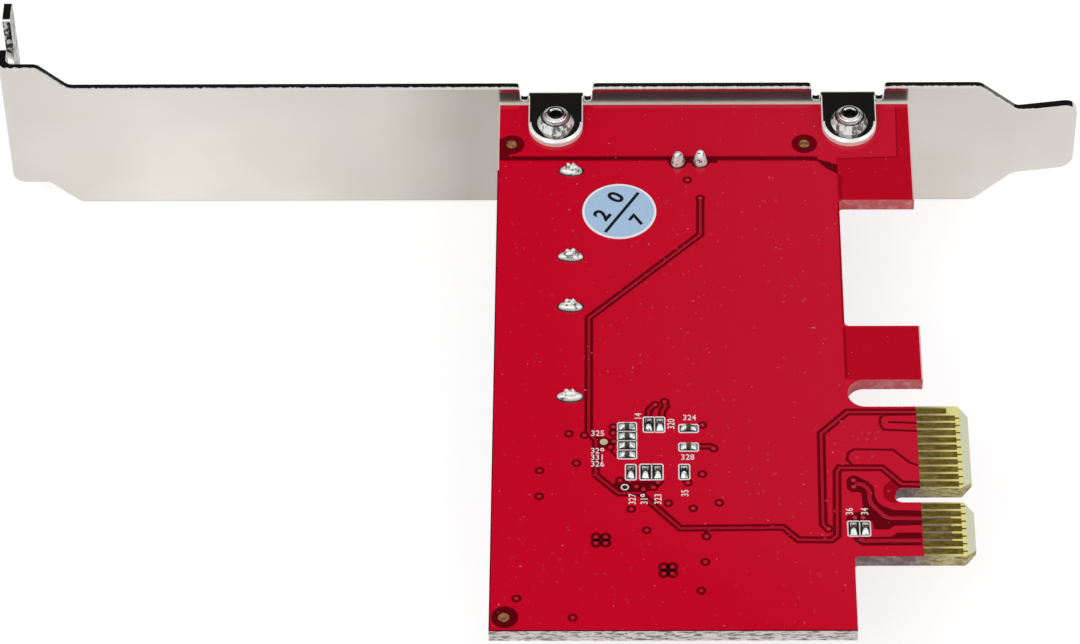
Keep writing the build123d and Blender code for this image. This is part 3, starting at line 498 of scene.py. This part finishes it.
plain_numbers = [("14", 15.45, 45.85, 1), ("320", 18.95, 46.9, 1), ("324", 20.87, 46.05, 0),
                 ("328", 20.62, 51.5, 0), ("325", 11.15, 48.2, 0), ("329", 11.13, 50.6, 0),
                 ("331", 11.13, 51.5, 0), ("326", 11.13, 52.4, 0), ("327", 14.80, 57.15, 1),
                 ("319", 16.05, 57.15, 1), ("323", 17.5, 57.15, 1), ("35", 20.32, 56.35, 1),
                 ("36", 37.42, 58.85, 1), ("34", 39.0, 58.85, 1)]
number_height, number_squeeze, number_boldness = 0.74, 0.86, 0.015


def printed(name, words, finish, top, boldness):
    """Plain numbers, each (text, u, v, turn, height, squeeze), flat on the solder side and in one piece."""
    capital_share, letter_spacing = 0.7, 1.08
    built = bmesh.new()
    for text, u, v, turned, height, squeeze in words:
        curve = bpy.data.curves.new(name, "FONT")
        curve.body = text
        curve.size, curve.offset = height / 1000 / capital_share, height / 1000 * boldness
        curve.align_x, curve.align_y, curve.space_character = "CENTER", "CENTER", letter_spacing
        holder = bpy.data.objects.new(name, curve)
        bpy.context.scene.collection.objects.link(holder)
        evaluated = holder.evaluated_get(bpy.context.evaluated_depsgraph_get())
        flat_text = bpy.data.meshes.new_from_object(evaluated)
        turn = Matrix.Rotation(math.radians(turned), 4, "Z") @ Matrix.Scale(squeeze, 4, (1, 0, 0))
        flat_text.transform(Matrix.Translation(board_point(u, v, top)) @ turn)
        built.from_mesh(flat_text)
        bpy.data.objects.remove(holder)
        bpy.data.meshes.remove(flat_text)
    mesh = bpy.data.meshes.new(name)
    built.to_mesh(mesh)
    built.free()
    mesh.materials.clear()
    mesh.materials.append(finish.owner)
    piece = bpy.data.objects.new(name, mesh)
    bpy.context.scene.collection.objects.link(piece)
    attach(piece, "root")
    return piece


printed("silkscreen_numbers",
        [(text, u, v, 90 * upright, number_height, number_squeeze) for text, u, v, upright in plain_numbers],
        ink_finish, ink_top, number_boldness)


# Edge contacts. Hard gold over nickel on copper, 0.7 mm wide on a 1 mm pitch, plated on both sides of the
# tongue. The thin stubs beyond their ends are what is left of the plating bars.
gold_dark, gold_light = (0.19, 0.125, 0.008, 1), (0.34, 0.24, 0.03, 1)
gold_pits, gold_worn = (0.05, 0.035, 0.006, 1), (0.46, 0.38, 0.12, 1)
gold_finish = Finish("hard_gold")
place = gold_finish.place()
brushed = gold_finish.noise(gold_finish.stretched(place, 300, 5000, 300), 1.0, 3.0)
worn = gold_finish.noise(place, 700.0, 3.0)
pitted = gold_finish.ramp(gold_finish.noise(gold_finish.stretched(place, 1100, 2600, 1100), 1.0, 3.0, 0.7),
                          (0.38, 0.0), (0.62, 1.0))
tone = gold_finish.mix(brushed, gold_dark, gold_light)
tone = gold_finish.mix(pitted, gold_finish.mix(0.6, tone, gold_pits), tone)
tone = gold_finish.mix(gold_finish.ramp(worn, (0.5, 0.0), (0.75, 0.5)), tone, gold_worn)
gold_finish.surface(base_color=tone, metallic=0.35, roughness=brushed * 0.15 + 0.3,
                    normal=gold_finish.bump(brushed, 0.15, 0.00002))
dress(gold_finish, "edge_contacts_solder_side", "edge_contacts_component_side")
contact_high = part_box("edge_contacts_solder_side")[1]
contact_end_u = (contact_high.x - board_left) * 1000
contact_width, stub_length, stub_width, stub_top = 0.7, 0.45, 0.16, 0.03
rear_contacts, key_pitches, front_contacts = 11, 2, 7
first_contact_v = (board_rear - contact_high.y) * 1000 + contact_width / 2
front_start = rear_contacts + key_pitches
contact_steps = [*range(rear_contacts), *range(front_start, front_start + front_contacts)]
stubs = Layer()
for step in contact_steps[1:]:
    v = first_contact_v + step
    stubs.strip([(contact_end_u, v), (contact_end_u + stub_length, v)], stub_width, stub_top)
stubs.piece("plating_stubs", gold_finish, "gold_plating")
residue_end_u, residue_width, residue_top = 47.9, 0.26, 0.02
strips = Layer()
for v in (59.7, 60.7, 61.65, 62.65):
    strips.strip([(mask_end_u, v), (residue_end_u, v)], residue_width, residue_top)
residue_finish = Finish("mask_between_contacts")
speckle = residue_finish.noise(residue_finish.place(), 1500.0, 3.0)
residue_tone = residue_finish.mix(speckle, (0.16, 0.12, 0.10, 1), (0.30, 0.24, 0.21, 1))
residue_finish.surface(base_color=residue_tone, roughness=0.5,
                       normal=residue_finish.bump(speckle, 0.2, 0.00002))
strips.piece("mask_between_contacts", residue_finish, "solder_mask")


# Slot bracket. Cold rolled steel sheet, 0.86 mm thick, blanked, folded at the screw tab and both mounting
# tabs, and nickel plated. Blanking leaves its edges duller than its faces, with a fine burr along the top,
# whose bright line is painted highlight.
bracket_low, bracket_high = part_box("bracket")
jog_height, jog_length, foot_length, foot_drop, foot_slope = 0.0033, 0.0077, 0.0112, 0.003765, 0.876
plate_top_z, shadow_rim_z = bracket_high.z - jog_height, bracket_low.z + 0.000115
jog_start_x, foot_start_x = bracket_low.x + jog_length, bracket_high.x - foot_length
plate_inner_y = board_rear + 0.001
plate_front_y = plate_inner_y - 0.0004
screw_tab_x, screw_tab_y = bracket_low.x + 0.00107, plate_inner_y + 0.00155
fade_start_x, fade_run = -0.107, 0.057
tabs_middle_x, tab_offset, tab_clear_mm, tab_glint_mm = -0.02755, 0.01639, 3.1, 2.91
tab_sheet_z = solder_face + 0.00088
shaded_end_x, shade_rise_mm = -0.0044, 1.6
burr_glint_depth, burr_glint_least, ragged_reach, ragged_start, ragged_end = 0.00034, 0.00004, 0.0007, 0.00008, 0.0007
nickel_rosy, nickel_straw, nickel_grey = (0.92, 0.86, 0.81, 1), (0.865, 0.835, 0.75, 1), (0.80, 0.75, 0.72, 1)
painted_glint_tone, nickel_shaded = (0.98, 0.97, 0.94, 1), (0.30, 0.29, 0.27, 1)
sheared_tone, mirrored_board = (0.86, 0.80, 0.76, 1), (0.92, 0.82, 0.83, 1)
speck_dark, speck_light = (0.035, 0.035, 0.03, 1), (0.62, 0.61, 0.58, 1)
mirrored_dark, mirrored_light = (0.15, 0.16, 0.15, 1), (0.90, 0.98, 0.95, 1)
black = (0, 0, 0, 1)
steel_finish = Finish("nickel_plated_steel")
place = steel_finish.place()
x, y, z = steel_finish.axes(place)
normal_x, normal_y, normal_z = steel_finish.axes(steel_finish.place("Normal"))

# The rolled faces: faint stains, and painted reflection: darker toward the board, which they mirror,
# and a dim rosy band of the mirrored board on the plate behind it.
cloud = steel_finish.noise(steel_finish.stretched(place, 85, 85, 120), 1.0, 4.0)
wide_cloud = steel_finish.noise(place, 24.0, 2.0)
flecks = steel_finish.noise(place, 1500.0, 3.0)
tone = steel_finish.mix(steel_finish.ramp(cloud, (0.36, 0.0), (0.62, 1.0)), nickel_rosy, nickel_straw)
tone = steel_finish.mix(steel_finish.ramp(wide_cloud, (0.42, 0.0), (0.60, 0.8)), tone, nickel_grey)
along = steel_finish.ramp((x - fade_start_x) / fade_run, (0.0, 0.88), (0.30, 1.0), (0.60, 0.93),
                          (0.77, 0.88), (0.86, 0.77), (0.93, 0.66), (1.0, 0.71))
past_board = x > board_left
along = along + past_board * 0.20
along = along + (1 - along) * (normal_y > 0.1)
tone = steel_finish.mix(along, black, tone)
upward = steel_finish.ramp(normal_z, (0.62, 0.0), (0.80, 1.0))
on_tabs = y < plate_front_y
low_down = z < tab_sheet_z
plate_face = (1 - on_tabs) * (normal_y < -0.7)
lift_mm = (z - solder_face) * 1000
behind_board = plate_face * past_board * (x < shaded_end_x) * (lift_mm > 0)
in_shade = steel_finish.ramp(lift_mm / shade_rise_mm, (0.0, 0.80), (0.42, 0.74), (0.55, 0.5), (1.0, 0.5))
tone = steel_finish.mix(behind_board, tone, steel_finish.mix(in_shade, black, mirrored_board))

# The sheared edges: a ragged painted highlight along the burr at the top, dull rims on the tabs, and painted
# glints on the tabs' arrises and sides.
jog_rise = steel_finish.node("Clamp", {}, {"Value": jog_start_x - x, "Min": 0.0, "Max": jog_height})
foot_fall = steel_finish.node("Clamp", {}, {"Value": (x - foot_start_x) * foot_slope, "Min": 0.0,
                                            "Max": foot_drop})
plate_top = jog_rise - foot_fall + plate_top_z
from_tab_middle = abs(abs(x - tabs_middle_x) - tab_offset) * 1000
jagged = steel_finish.noise(steel_finish.stretched(place, 1900, 1, 1), 1.0, 3.0, 0.7)
burr_glint = plate_face * (z > plate_top - jagged * burr_glint_depth + burr_glint_least)
sheared_top = (normal_z > 0.3) * (1 - on_tabs) * (from_tab_middle > tab_clear_mm)
ragged = (y < jagged * ragged_reach + plate_inner_y - ragged_start) * (y < plate_inner_y + ragged_end)
burr_glint = burr_glint + sheared_top * ragged
shadow_rim = plate_face * (z < shadow_rim_z)
sheared = (abs(normal_z) < 0.55) * on_tabs * low_down
tab_arris_glint = (normal_z > 0.55) * (normal_z < 0.88) * on_tabs * low_down
side_glint = (from_tab_middle > tab_glint_mm) * (normal_z > 0.9) * on_tabs * low_down
collar_side = (abs(normal_z) < 0.7) * on_tabs * (1 - low_down)
screw_tab = (x < screw_tab_x) * (y > screw_tab_y) * (normal_z < 0.5) * (normal_x > -0.3)
speckled = steel_finish.ramp(steel_finish.noise(place, 1500.0, 3.0, 0.7), (0.50, 0.0), (0.58, 1.0))
tone = steel_finish.mix(screw_tab, tone, steel_finish.mix(speckled, speck_dark, speck_light))
tone = steel_finish.mix(sheared, tone, sheared_tone)
# Painted highlight: the burr's top line and the tabs' arrises and sides turn near white.
glints = tab_arris_glint + side_glint + burr_glint
tone = steel_finish.mix(glints, tone, painted_glint_tone)
tone = steel_finish.mix(shadow_rim * 0.4, tone, nickel_shaded)
# The collars' sides: streaks of near black and near white, a painted reflection of the surround.
mirrored_streaks = steel_finish.noise(steel_finish.stretched(place, 1500, 1500, 700), 1.0, 3.0, 0.7)
mirrored_streaks = steel_finish.ramp(mirrored_streaks, (0.42, 0.0), (0.51, 1.0))
tone = steel_finish.mix(collar_side, tone, steel_finish.mix(mirrored_streaks, mirrored_dark, mirrored_light))
steel_finish.surface(base_color=tone, metallic=1 - (sheared + glints) * 0.8 - collar_side * 0.7,
                     roughness=flecks * 0.08 + 0.18 - upward * 0.14 + sheared * 0.25,
                     normal=steel_finish.bump(flecks, 0.05, 0.00005))
dress(steel_finish, "bracket")


# Bracket screws. Two bright nickel plated steel screws, cold headed and thread rolled, driven from the
# component side so that their hollow points stand open in the collars.
dimple_radius, dimple_floor, dimple_rim = 0.00066, 0.0012, 0.0003
plating_dark, plating_light, dimple_shade = (0.66, 0.66, 0.66, 1), (0.90, 0.90, 0.88, 1), (0.04, 0.04, 0.038, 1)
screw_finish = Finish("nickel_plated_screw")
place = screw_finish.place()
x, y, z = screw_finish.axes(place)
swirl = screw_finish.noise(screw_finish.stretched(place, 1200, 1200, 7000), 1.0, 3.0)
tone = screw_finish.mix(swirl, plating_dark, plating_light)
point_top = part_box("bracket_screw_1")[1].z
screw_centres = []
# The hollow in each point is painted near black: painted shade in the recess.
shaded_dimple = None
for name in ("bracket_screw_1", "bracket_screw_2"):
    low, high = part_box(name)
    screw_centres.append(((low.x + high.x) / 2, (low.y + high.y) / 2))
    reach = ((x - screw_centres[-1][0]) ** 2 + (y - screw_centres[-1][1]) ** 2) ** 0.5
    hollow = (reach < dimple_radius) * (z > point_top - dimple_floor) * (z < point_top - dimple_rim)
    shaded_dimple = hollow if shaded_dimple is None else shaded_dimple + hollow
tone = screw_finish.mix(shaded_dimple, tone, dimple_shade)
screw_finish.surface(base_color=tone, metallic=1.0, roughness=swirl * 0.15 + 0.12,
                     normal=screw_finish.bump(swirl, 0.15, 0.00005))
dress(screw_finish, "bracket_screw_1", "bracket_screw_2")

# The thread's crests, as rings of (radius, depth below the point) in mm.
thread_profile = [(1.22, 0.62), (1.40, 0.54), (1.43, 0.48), (1.16, 0.40), (1.26, 0.33), (1.27, 0.28),
                  (1.04, 0.20)]
rows, turns = len(thread_profile), 40
vertices, faces = [], []
for centre_x, centre_y in screw_centres:
    start = len(vertices)
    for step in range(turns):
        a = 2 * math.pi * step / turns
        for radius, below in thread_profile:
            out = radius / 1000
            vertices.append((centre_x + out * math.cos(a), centre_y + out * math.sin(a),
                             point_top - below / 1000))
    for step in range(turns):
        for row in range(rows - 1):
            a, b = start + step * rows + row, start + (step + 1) % turns * rows + row
            faces.append([a, b, b + 1, a + 1])
to_mesh("screw_threads", vertices, faces, screw_finish, True)


# Solder joints. Tin solder, flowed hot over the ports' board locks and the two header pins, where it has set
# as bright, uneven lumps, each on a dark ring of painted shade round its foot.
tin_dark, tin_light = (0.11, 0.12, 0.11, 1), (0.88, 0.98, 0.95, 1)
tin_finish = Finish("bright_solder")
place = tin_finish.place()
dimples = tin_finish.noise(place, 1300.0, 3.0)
# Near white solder with dark specks scattered over it.
dark_specks = tin_finish.ramp(tin_finish.noise(place, 1700.0, 3.0, 0.7), (0.39, 0.0), (0.47, 1.0))
tin_finish.surface(base_color=tin_finish.mix(dark_specks, tin_dark, tin_light), metallic=0.35,
                   roughness=dimples * 0.2 + 0.14, normal=tin_finish.bump(dimples, 0.35, 0.0001))
# A near black with a faint grain: painted shade round the lock joints and under the small parts.
painted_shade_finish = Finish("painted_shade_round_joints_and_parts")
shade_grain = painted_shade_finish.noise(painted_shade_finish.place(), 2200.0, 2.0)
shade_grain_tone = painted_shade_finish.mix(shade_grain, (0.012, 0.006, 0.006, 1), (0.05, 0.03, 0.028, 1))
painted_shade_finish.surface(base_color=shade_grain_tone, roughness=0.35)
lock_u = 8.2
joint_places = [(lock_u, v) for v in (10.2, 23.0, 30.3, 43.1)]
joint_shade_rings = Layer()
for u, v in joint_places:
    joint_shade_rings.disc(u, v, 0.80, mark_ring_top, 28, 1.85)
joint_shade_rings.piece("joint_shade_rings", painted_shade_finish, "solder_mask")
header_places = [(20.03, 8.9), (22.52, 8.83)]
# A dark ring of the gap tone round each header joint: painted shade.
header_shade_rings = Layer()
for u, v in header_places:
    header_shade_rings.disc(u, v, 1.02, corner_ring_top, 24)
header_shade_rings.piece("header_shade_rings", gap_and_shade_finish, "solder_mask")


def lump(vertices, faces, centre, half_u, half_v, profile, wobble, seed):
    """One solder lump: an uneven oval that follows (share of reach, height) from its foot to its top."""
    random.seed(seed)
    steps, start = 26, len(vertices)
    phase = [random.uniform(0, 6.28) for _ in range(3)]
    for share, height in profile:
        for step in range(steps):
            a = 2 * math.pi * step / steps
            uneven = 1 + wobble * (math.sin(2 * a + phase[0]) + 0.6 * math.sin(3 * a + phase[1])) * 0.5
            lift = height * (1 + 0.10 * math.sin(a + phase[2]) * (1 - share))
            vertices.append(board_point(centre[0] + half_u * share * uneven * math.cos(a),
                                        centre[1] + half_v * share * uneven * math.sin(a), lift))
    for row in range(len(profile) - 1):
        for step in range(steps):
            a, b = start + row * steps + step, start + row * steps + (step + 1) % steps
            faces.append([a, a + steps, b + steps, b])


mound = [(1.0, 0.0), (0.98, 0.16), (0.90, 0.32), (0.72, 0.46), (0.45, 0.55), (0.2, 0.60), (0.0, 0.60)]
middle = [(1.0, 0.15), (0.96, 0.45), (0.84, 0.68), (0.6, 0.84), (0.3, 0.90), (0.0, 0.90)]
peak = [(1.0, 0.4), (0.9, 0.76), (0.7, 1.0), (0.4, 1.12), (0.0, 1.16)]
vertices, faces = [], []
for number, (u, v) in enumerate(joint_places):
    lump(vertices, faces, (u, v), 1.32, 0.60, mound, 0.10, number)
    lump(vertices, faces, (u, v - 0.05), 0.85, 0.44, middle, 0.12, number + 40)
    lump(vertices, faces, (u - 0.34, v - 0.08), 0.30, 0.26, peak, 0.2, number + 10)
    lump(vertices, faces, (u + 0.30, v - 0.12), 0.28, 0.26, peak, 0.2, number + 20)
lock_solder = to_mesh("lock_solder", vertices, faces, tin_finish, True)
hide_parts("lock_joints")
cone = [(1.0, 0.0), (1.0, 0.15), (0.94, 0.42), (0.83, 0.75), (0.70, 1.08), (0.60, 1.36), (0.46, 1.52),
        (0.25, 1.60), (0.0, 1.62)]
cone_radius = 0.76
vertices, faces = [], []
for number, (u, v) in enumerate(header_places):
    lump(vertices, faces, (u, v), cone_radius, cone_radius, cone, 0.10, number + 30)
header_solder = to_mesh("header_solder", vertices, faces, tin_finish, True)
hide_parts("header_joints")


# Small parts. Fired ceramic chip capacitors, brown, and black glazed chip resistors, set by machine and
# soldered at both ends. The round marks that guide the machine are plated copper left bare in the mask.
def moulded(name, low, high, roughness, grain, depth, metallic=0.0):
    """A moulded, fired or plated finish with its own grain."""
    finish = Finish(name)
    speckle = finish.noise(finish.place(), grain, 3.0)
    return finish.surface(base_color=finish.mix(speckle, low, high), metallic=metallic,
                          roughness=speckle * 0.15 + roughness, normal=finish.bump(speckle, 0.25, depth))


flat_parts = [(14.26, 47.26), (14.26, 48.54), (14.26, 49.82), (14.26, 51.1), (20.76, 47.44),
              (20.74, 50.04)]
upright_parts = [(17.74, 46.98), (14.63, 53.48), (16.16, 53.48), (17.45, 53.48), (37.73, 61.14),
                 (38.97, 61.14), (16.54, 46.98), (20.24, 53.46)]

# The solder at an end, from the middle of the part outward: (reach, half width, height), and its section
# across: (share of the half width, share of the height).
flare = [(0.22, 0.27, 0.45), (0.36, 0.29, 0.44), (0.50, 0.31, 0.36), (0.65, 0.34, 0.21), (0.78, 0.35, 0.08),
         (0.85, 0.35, 0.0)]
across = [(-1.06, 0.0), (-1.0, 0.45), (-0.55, 0.86), (0.0, 1.0), (0.55, 0.86), (1.0, 0.45), (1.06, 0.0)]
vertices, faces = [], []
for (u, v), upright in [(p, False) for p in flat_parts] + [(p, True) for p in upright_parts]:
    for side in (-1, 1):
        start, count = len(vertices), len(across)
        for reach, half, height in flare:
            for share, rise in across:
                along = (half * share, side * reach) if upright else (side * reach, half * share)
                vertices.append(board_point(u + along[0], v + along[1], height * rise))
        for row in range(len(flare) - 1):
            for k in range(count - 1):
                a = start + count * row + k
                quad = [a, a + 1, a + count + 1, a + count]
                faces.append(quad if (side > 0) == upright else quad[::-1])
        faces.append(list(range(start, start + count)))
flared_ends = to_mesh("flared_solder", vertices, faces, tin_finish, True)
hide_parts("soldered_ends_solder_side")
dress(tin_finish, "soldered_ends_component_side")
# Dark patches inside each frame: painted shade round and under the small parts; the ringed dot's middle is
# dark too.
part_shade_top = 0.0165
part_shades = Layer()
for u0, v0, u1, v1 in outlines:
    part_shades.polygon([(u0, v0), (u1, v0), (u1, v1), (u0, v1)], part_shade_top)
part_shades.disc(ringed_dot_u, ringed_dot_v, 0.27, part_shade_top)
part_shades.piece("shade_under_parts", painted_shade_finish, "solder_mask")
dress(moulded("fired_ceramic", (0.05, 0.036, 0.028, 1), (0.14, 0.10, 0.075, 1), 0.35, 3500.0, 0.00002),
      "capacitors_solder_side", "capacitors_component_side")
dress(moulded("resistor_film", (0.006, 0.006, 0.007, 1), (0.02, 0.02, 0.022, 1), 0.3, 3500.0, 0.00002),
      "resistors_solder_side")
pad_dark, pad_light = (0.24, 0.10, 0.03, 1), (0.50, 0.27, 0.12, 1)
covered_dot, bare_dot = (0.15, 0.0003, 0.005, 1), (0.86, 0.68, 0.46, 1)
covered_dot_reach, bare_dot_radius = 0.0010, 0.00042
dot_x, dot_y = board_point(11.80, 49.35, 0)[:2]
pad_finish = Finish("gold_flashed_pad")
place = pad_finish.place()
x, y, _ = pad_finish.axes(place)
speckle = pad_finish.ramp(pad_finish.noise(place, 2500.0, 3.0), (0.40, 0.0), (0.60, 1.0))
tone = pad_finish.mix(speckle, pad_dark, pad_light)
from_dot = ((x - dot_x) ** 2 + (y - dot_y) ** 2) ** 0.5
tone = pad_finish.mix(from_dot < covered_dot_reach, tone, covered_dot)
tone = pad_finish.mix(from_dot < bare_dot_radius, tone, bare_dot)
pad_finish.surface(base_color=tone, metallic=0.3, roughness=speckle * 0.15 + 0.3)
dress(pad_finish, "fiducial_marks")


# Inspection sticker. Pale blue paper, printed in black with a bar and plain numbers, cut round with a white
# rim, and stuck to the board by hand after its test.
rim_share = 0.94
paper_dark, paper_light, paper_rim = (0.38, 0.555, 0.78, 1), (0.45, 0.63, 0.85, 1), (0.92, 0.90, 0.91, 1)
sticker_low, sticker_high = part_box("inspection_sticker")
sticker_x, sticker_y = (sticker_low.x + sticker_high.x) / 2, (sticker_low.y + sticker_high.y) / 2
sticker_radius = (sticker_high.x - sticker_low.x) / 2
sticker_finish = Finish("printed_paper")
place = sticker_finish.place()
x, y, _ = sticker_finish.axes(place)
from_centre = ((x - sticker_x) ** 2 + (y - sticker_y) ** 2) ** 0.5
fibres = sticker_finish.noise(place, 2200.0, 4.0)
paper = sticker_finish.mix(fibres, paper_dark, paper_light)
paper = sticker_finish.mix(from_centre > sticker_radius * rim_share, paper, paper_rim)
sticker_finish.surface(base_color=paper, roughness=0.5, normal=sticker_finish.bump(fibres, 0.15, 0.00003))
dress(sticker_finish, "inspection_sticker")
black_ink = moulded("black_ink", (0.004, 0.005, 0.008, 1), (0.012, 0.013, 0.018, 1), 0.4, 4000.0, 0.00001)
sticker_top = (sticker_high.z - solder_face) * 1000
print_top = sticker_top + 0.012
bar = Layer(sticker_top)
bar.strip([(11.96, 19.45), (15.63, 13.56)], 0.36, print_top)
bar.piece("sticker_bar", black_ink, "sticker_paper")
bar_turn, print_boldness = 57, 0.045
sticker_words = [("2", 11.68, 16.94, bar_turn, 1.75, 1.0), ("0", 13.19, 14.29, bar_turn, 1.75, 1.0),
                 ("7", 15.53, 17.66, bar_turn, 1.6, 1.0)]
printed("sticker_numbers", sticker_words, black_ink, print_top, print_boldness)


# Component side. Moulded ports with gold flashed contacts, the pin header, the chip, its memory and the
# regulator with their tinned leads, all soldered on the side that faces away from the camera.
dress(moulded("port_plastic", (0.010, 0.010, 0.011, 1), (0.022, 0.022, 0.024, 1), 0.38, 1800.0, 0.00003),
      "sata_port_1", "sata_port_2")
dress(moulded("port_gold", (0.62, 0.44, 0.14, 1), (0.80, 0.60, 0.24, 1), 0.2, 3000.0, 0.00001, 1.0),
      "port_contacts_1", "port_contacts_2")
dress(moulded("lock_tin", (0.55, 0.55, 0.56, 1), (0.75, 0.75, 0.76, 1), 0.3, 2500.0, 0.00002, 1.0),
      "port_locks", "controller_leads", "flash_leads", "regulator_leads", "tantalum_ends", "header_pins")
dress(moulded("header_plastic", (0.012, 0.012, 0.012, 1), (0.028, 0.027, 0.027, 1), 0.42, 2000.0, 0.00003),
      "header_base")
dress(moulded("chip_compound", (0.012, 0.012, 0.013, 1), (0.034, 0.034, 0.036, 1), 0.5, 4200.0, 0.00003),
      "controller_chip", "flash_memory", "regulator")
dress(moulded("crystal_ceramic", (0.10, 0.09, 0.07, 1), (0.18, 0.16, 0.13, 1), 0.5, 3000.0, 0.00002),
      "crystal_base")
dress(moulded("crystal_lid_metal", (0.62, 0.60, 0.55, 1), (0.78, 0.76, 0.70, 1), 0.22, 2600.0, 0.00002, 1.0),
      "crystal_lid")
dress(moulded("ferrite", (0.02, 0.02, 0.022, 1), (0.06, 0.06, 0.064, 1), 0.55, 3000.0, 0.00004), "inductor")
dress(moulded("tantalum_resin", (0.42, 0.24, 0.03, 1), (0.56, 0.34, 0.05, 1), 0.45, 2600.0, 0.00003),
      "tantalum_capacitor")


# Studio. A pale floor just under the card, two soft lamps and a white surround with one dark screen above the
# far side, which keeps the red mask deep and turns the bright metal that faces it dark.
floor_gap, floor_reach = 0.0003, 6
floor_z = cad_box[0].z - floor_gap
floor_corners = [(floor_reach * a, floor_reach * b, floor_z) for a, b in ((-1, -1), (1, -1), (1, 1), (-1, 1))]
floor_mesh = bpy.data.meshes.new("floor")
floor_mesh.from_pydata(floor_corners, [], [[0, 1, 2, 3]])
floor = bpy.data.objects.new("floor", floor_mesh)
bpy.context.scene.collection.objects.link(floor)
floor_finish = Finish("pale_floor")
camera_ray = floor_finish.node("LightPath", output="Is Camera Ray")
glossy_ray = floor_finish.node("LightPath", output="Is Glossy Ray")
seen_glow, mirrored_glow = 0.70, 0.50
glow_level = camera_ray * seen_glow + glossy_ray * mirrored_glow
glow = floor_finish.node("Emission", {}, {"Color": (1, 1, 1, 1), "Strength": glow_level})
chalk = floor_finish.node("BsdfDiffuse", {}, {"Color": (0.46, 0.46, 0.46, 1)})
floor_finish.node_out(floor_finish.node("AddShader", {}, {0: glow, 1: chalk}))
floor_mesh.materials.append(floor_finish.owner)

world = bpy.data.worlds.new("studio")
bpy.context.scene.world = world
surround = Finish("studio", world)
direction = surround.place("Generated")
screen_direction, screen_depth, soft_level = (0.0, 0.85, 0.53), 0.99, 0.72
toward_screen = surround.node("VectorMath", {"operation": "DOT_PRODUCT"},
                              {0: direction, 1: screen_direction}, "Value")
screen = surround.ramp(toward_screen, (0.36, 0.0), (0.54, 1.0))
glossy = surround.node("LightPath", output="Is Glossy Ray")
camera_ray = surround.node("LightPath", output="Is Camera Ray")
mirrored = glossy * (1 - screen * screen_depth) + (1 - glossy) * soft_level
level = camera_ray + (1 - camera_ray) * mirrored
backdrop = surround.node("Background", {}, {"Color": (1, 1, 1, 1), "Strength": level})
world_out = surround.tree.nodes.new("ShaderNodeOutputWorld")
surround.tree.links.new(backdrop.socket, world_out.inputs["Surface"])

for name, place, size, power in (("key_lamp", (-0.9, -1.3, 1.5), 1.1, 8.6),
                                 ("fill_lamp", (1.5, -0.6, 1.1), 1.0, 3.4)):
    lamp = bpy.data.lights.new(name, "AREA")
    lamp.size, lamp.energy = size, power
    holder = bpy.data.objects.new(name, lamp)
    holder.location = place
    holder.rotation_euler = (-Vector(place)).to_track_quat("-Z", "Y").to_euler()
    holder.visible_camera = False
    bpy.context.scene.collection.objects.link(holder)
bpy.context.scene.view_settings.view_transform = "Standard"


# Camera. The photograph's view, from the card's front edge, about 49 degrees above the solder side, with a
# long lens. Its place follows from the known sizes of the bracket and the edge contacts.
camera_data = bpy.data.cameras.new("camera")
sensor_width, focal_length = 36.0, 159.635
camera_data.sensor_fit = "HORIZONTAL"
camera_data.sensor_width, camera_data.lens = sensor_width, focal_length
camera_data.clip_start, camera_data.clip_end = 0.01, 20.0
camera = bpy.data.objects.new("camera", camera_data)
camera.matrix_world = Matrix(((0.999877, 0.00219, 0.015543, -0.03742),
                              (0.008606, 0.751634, -0.659524, -0.316759),
                              (-0.013127, 0.659576, 0.751523, 0.389297), (0, 0, 0, 1)))
bpy.context.scene.collection.objects.link(camera)
bpy.context.scene.camera = camera
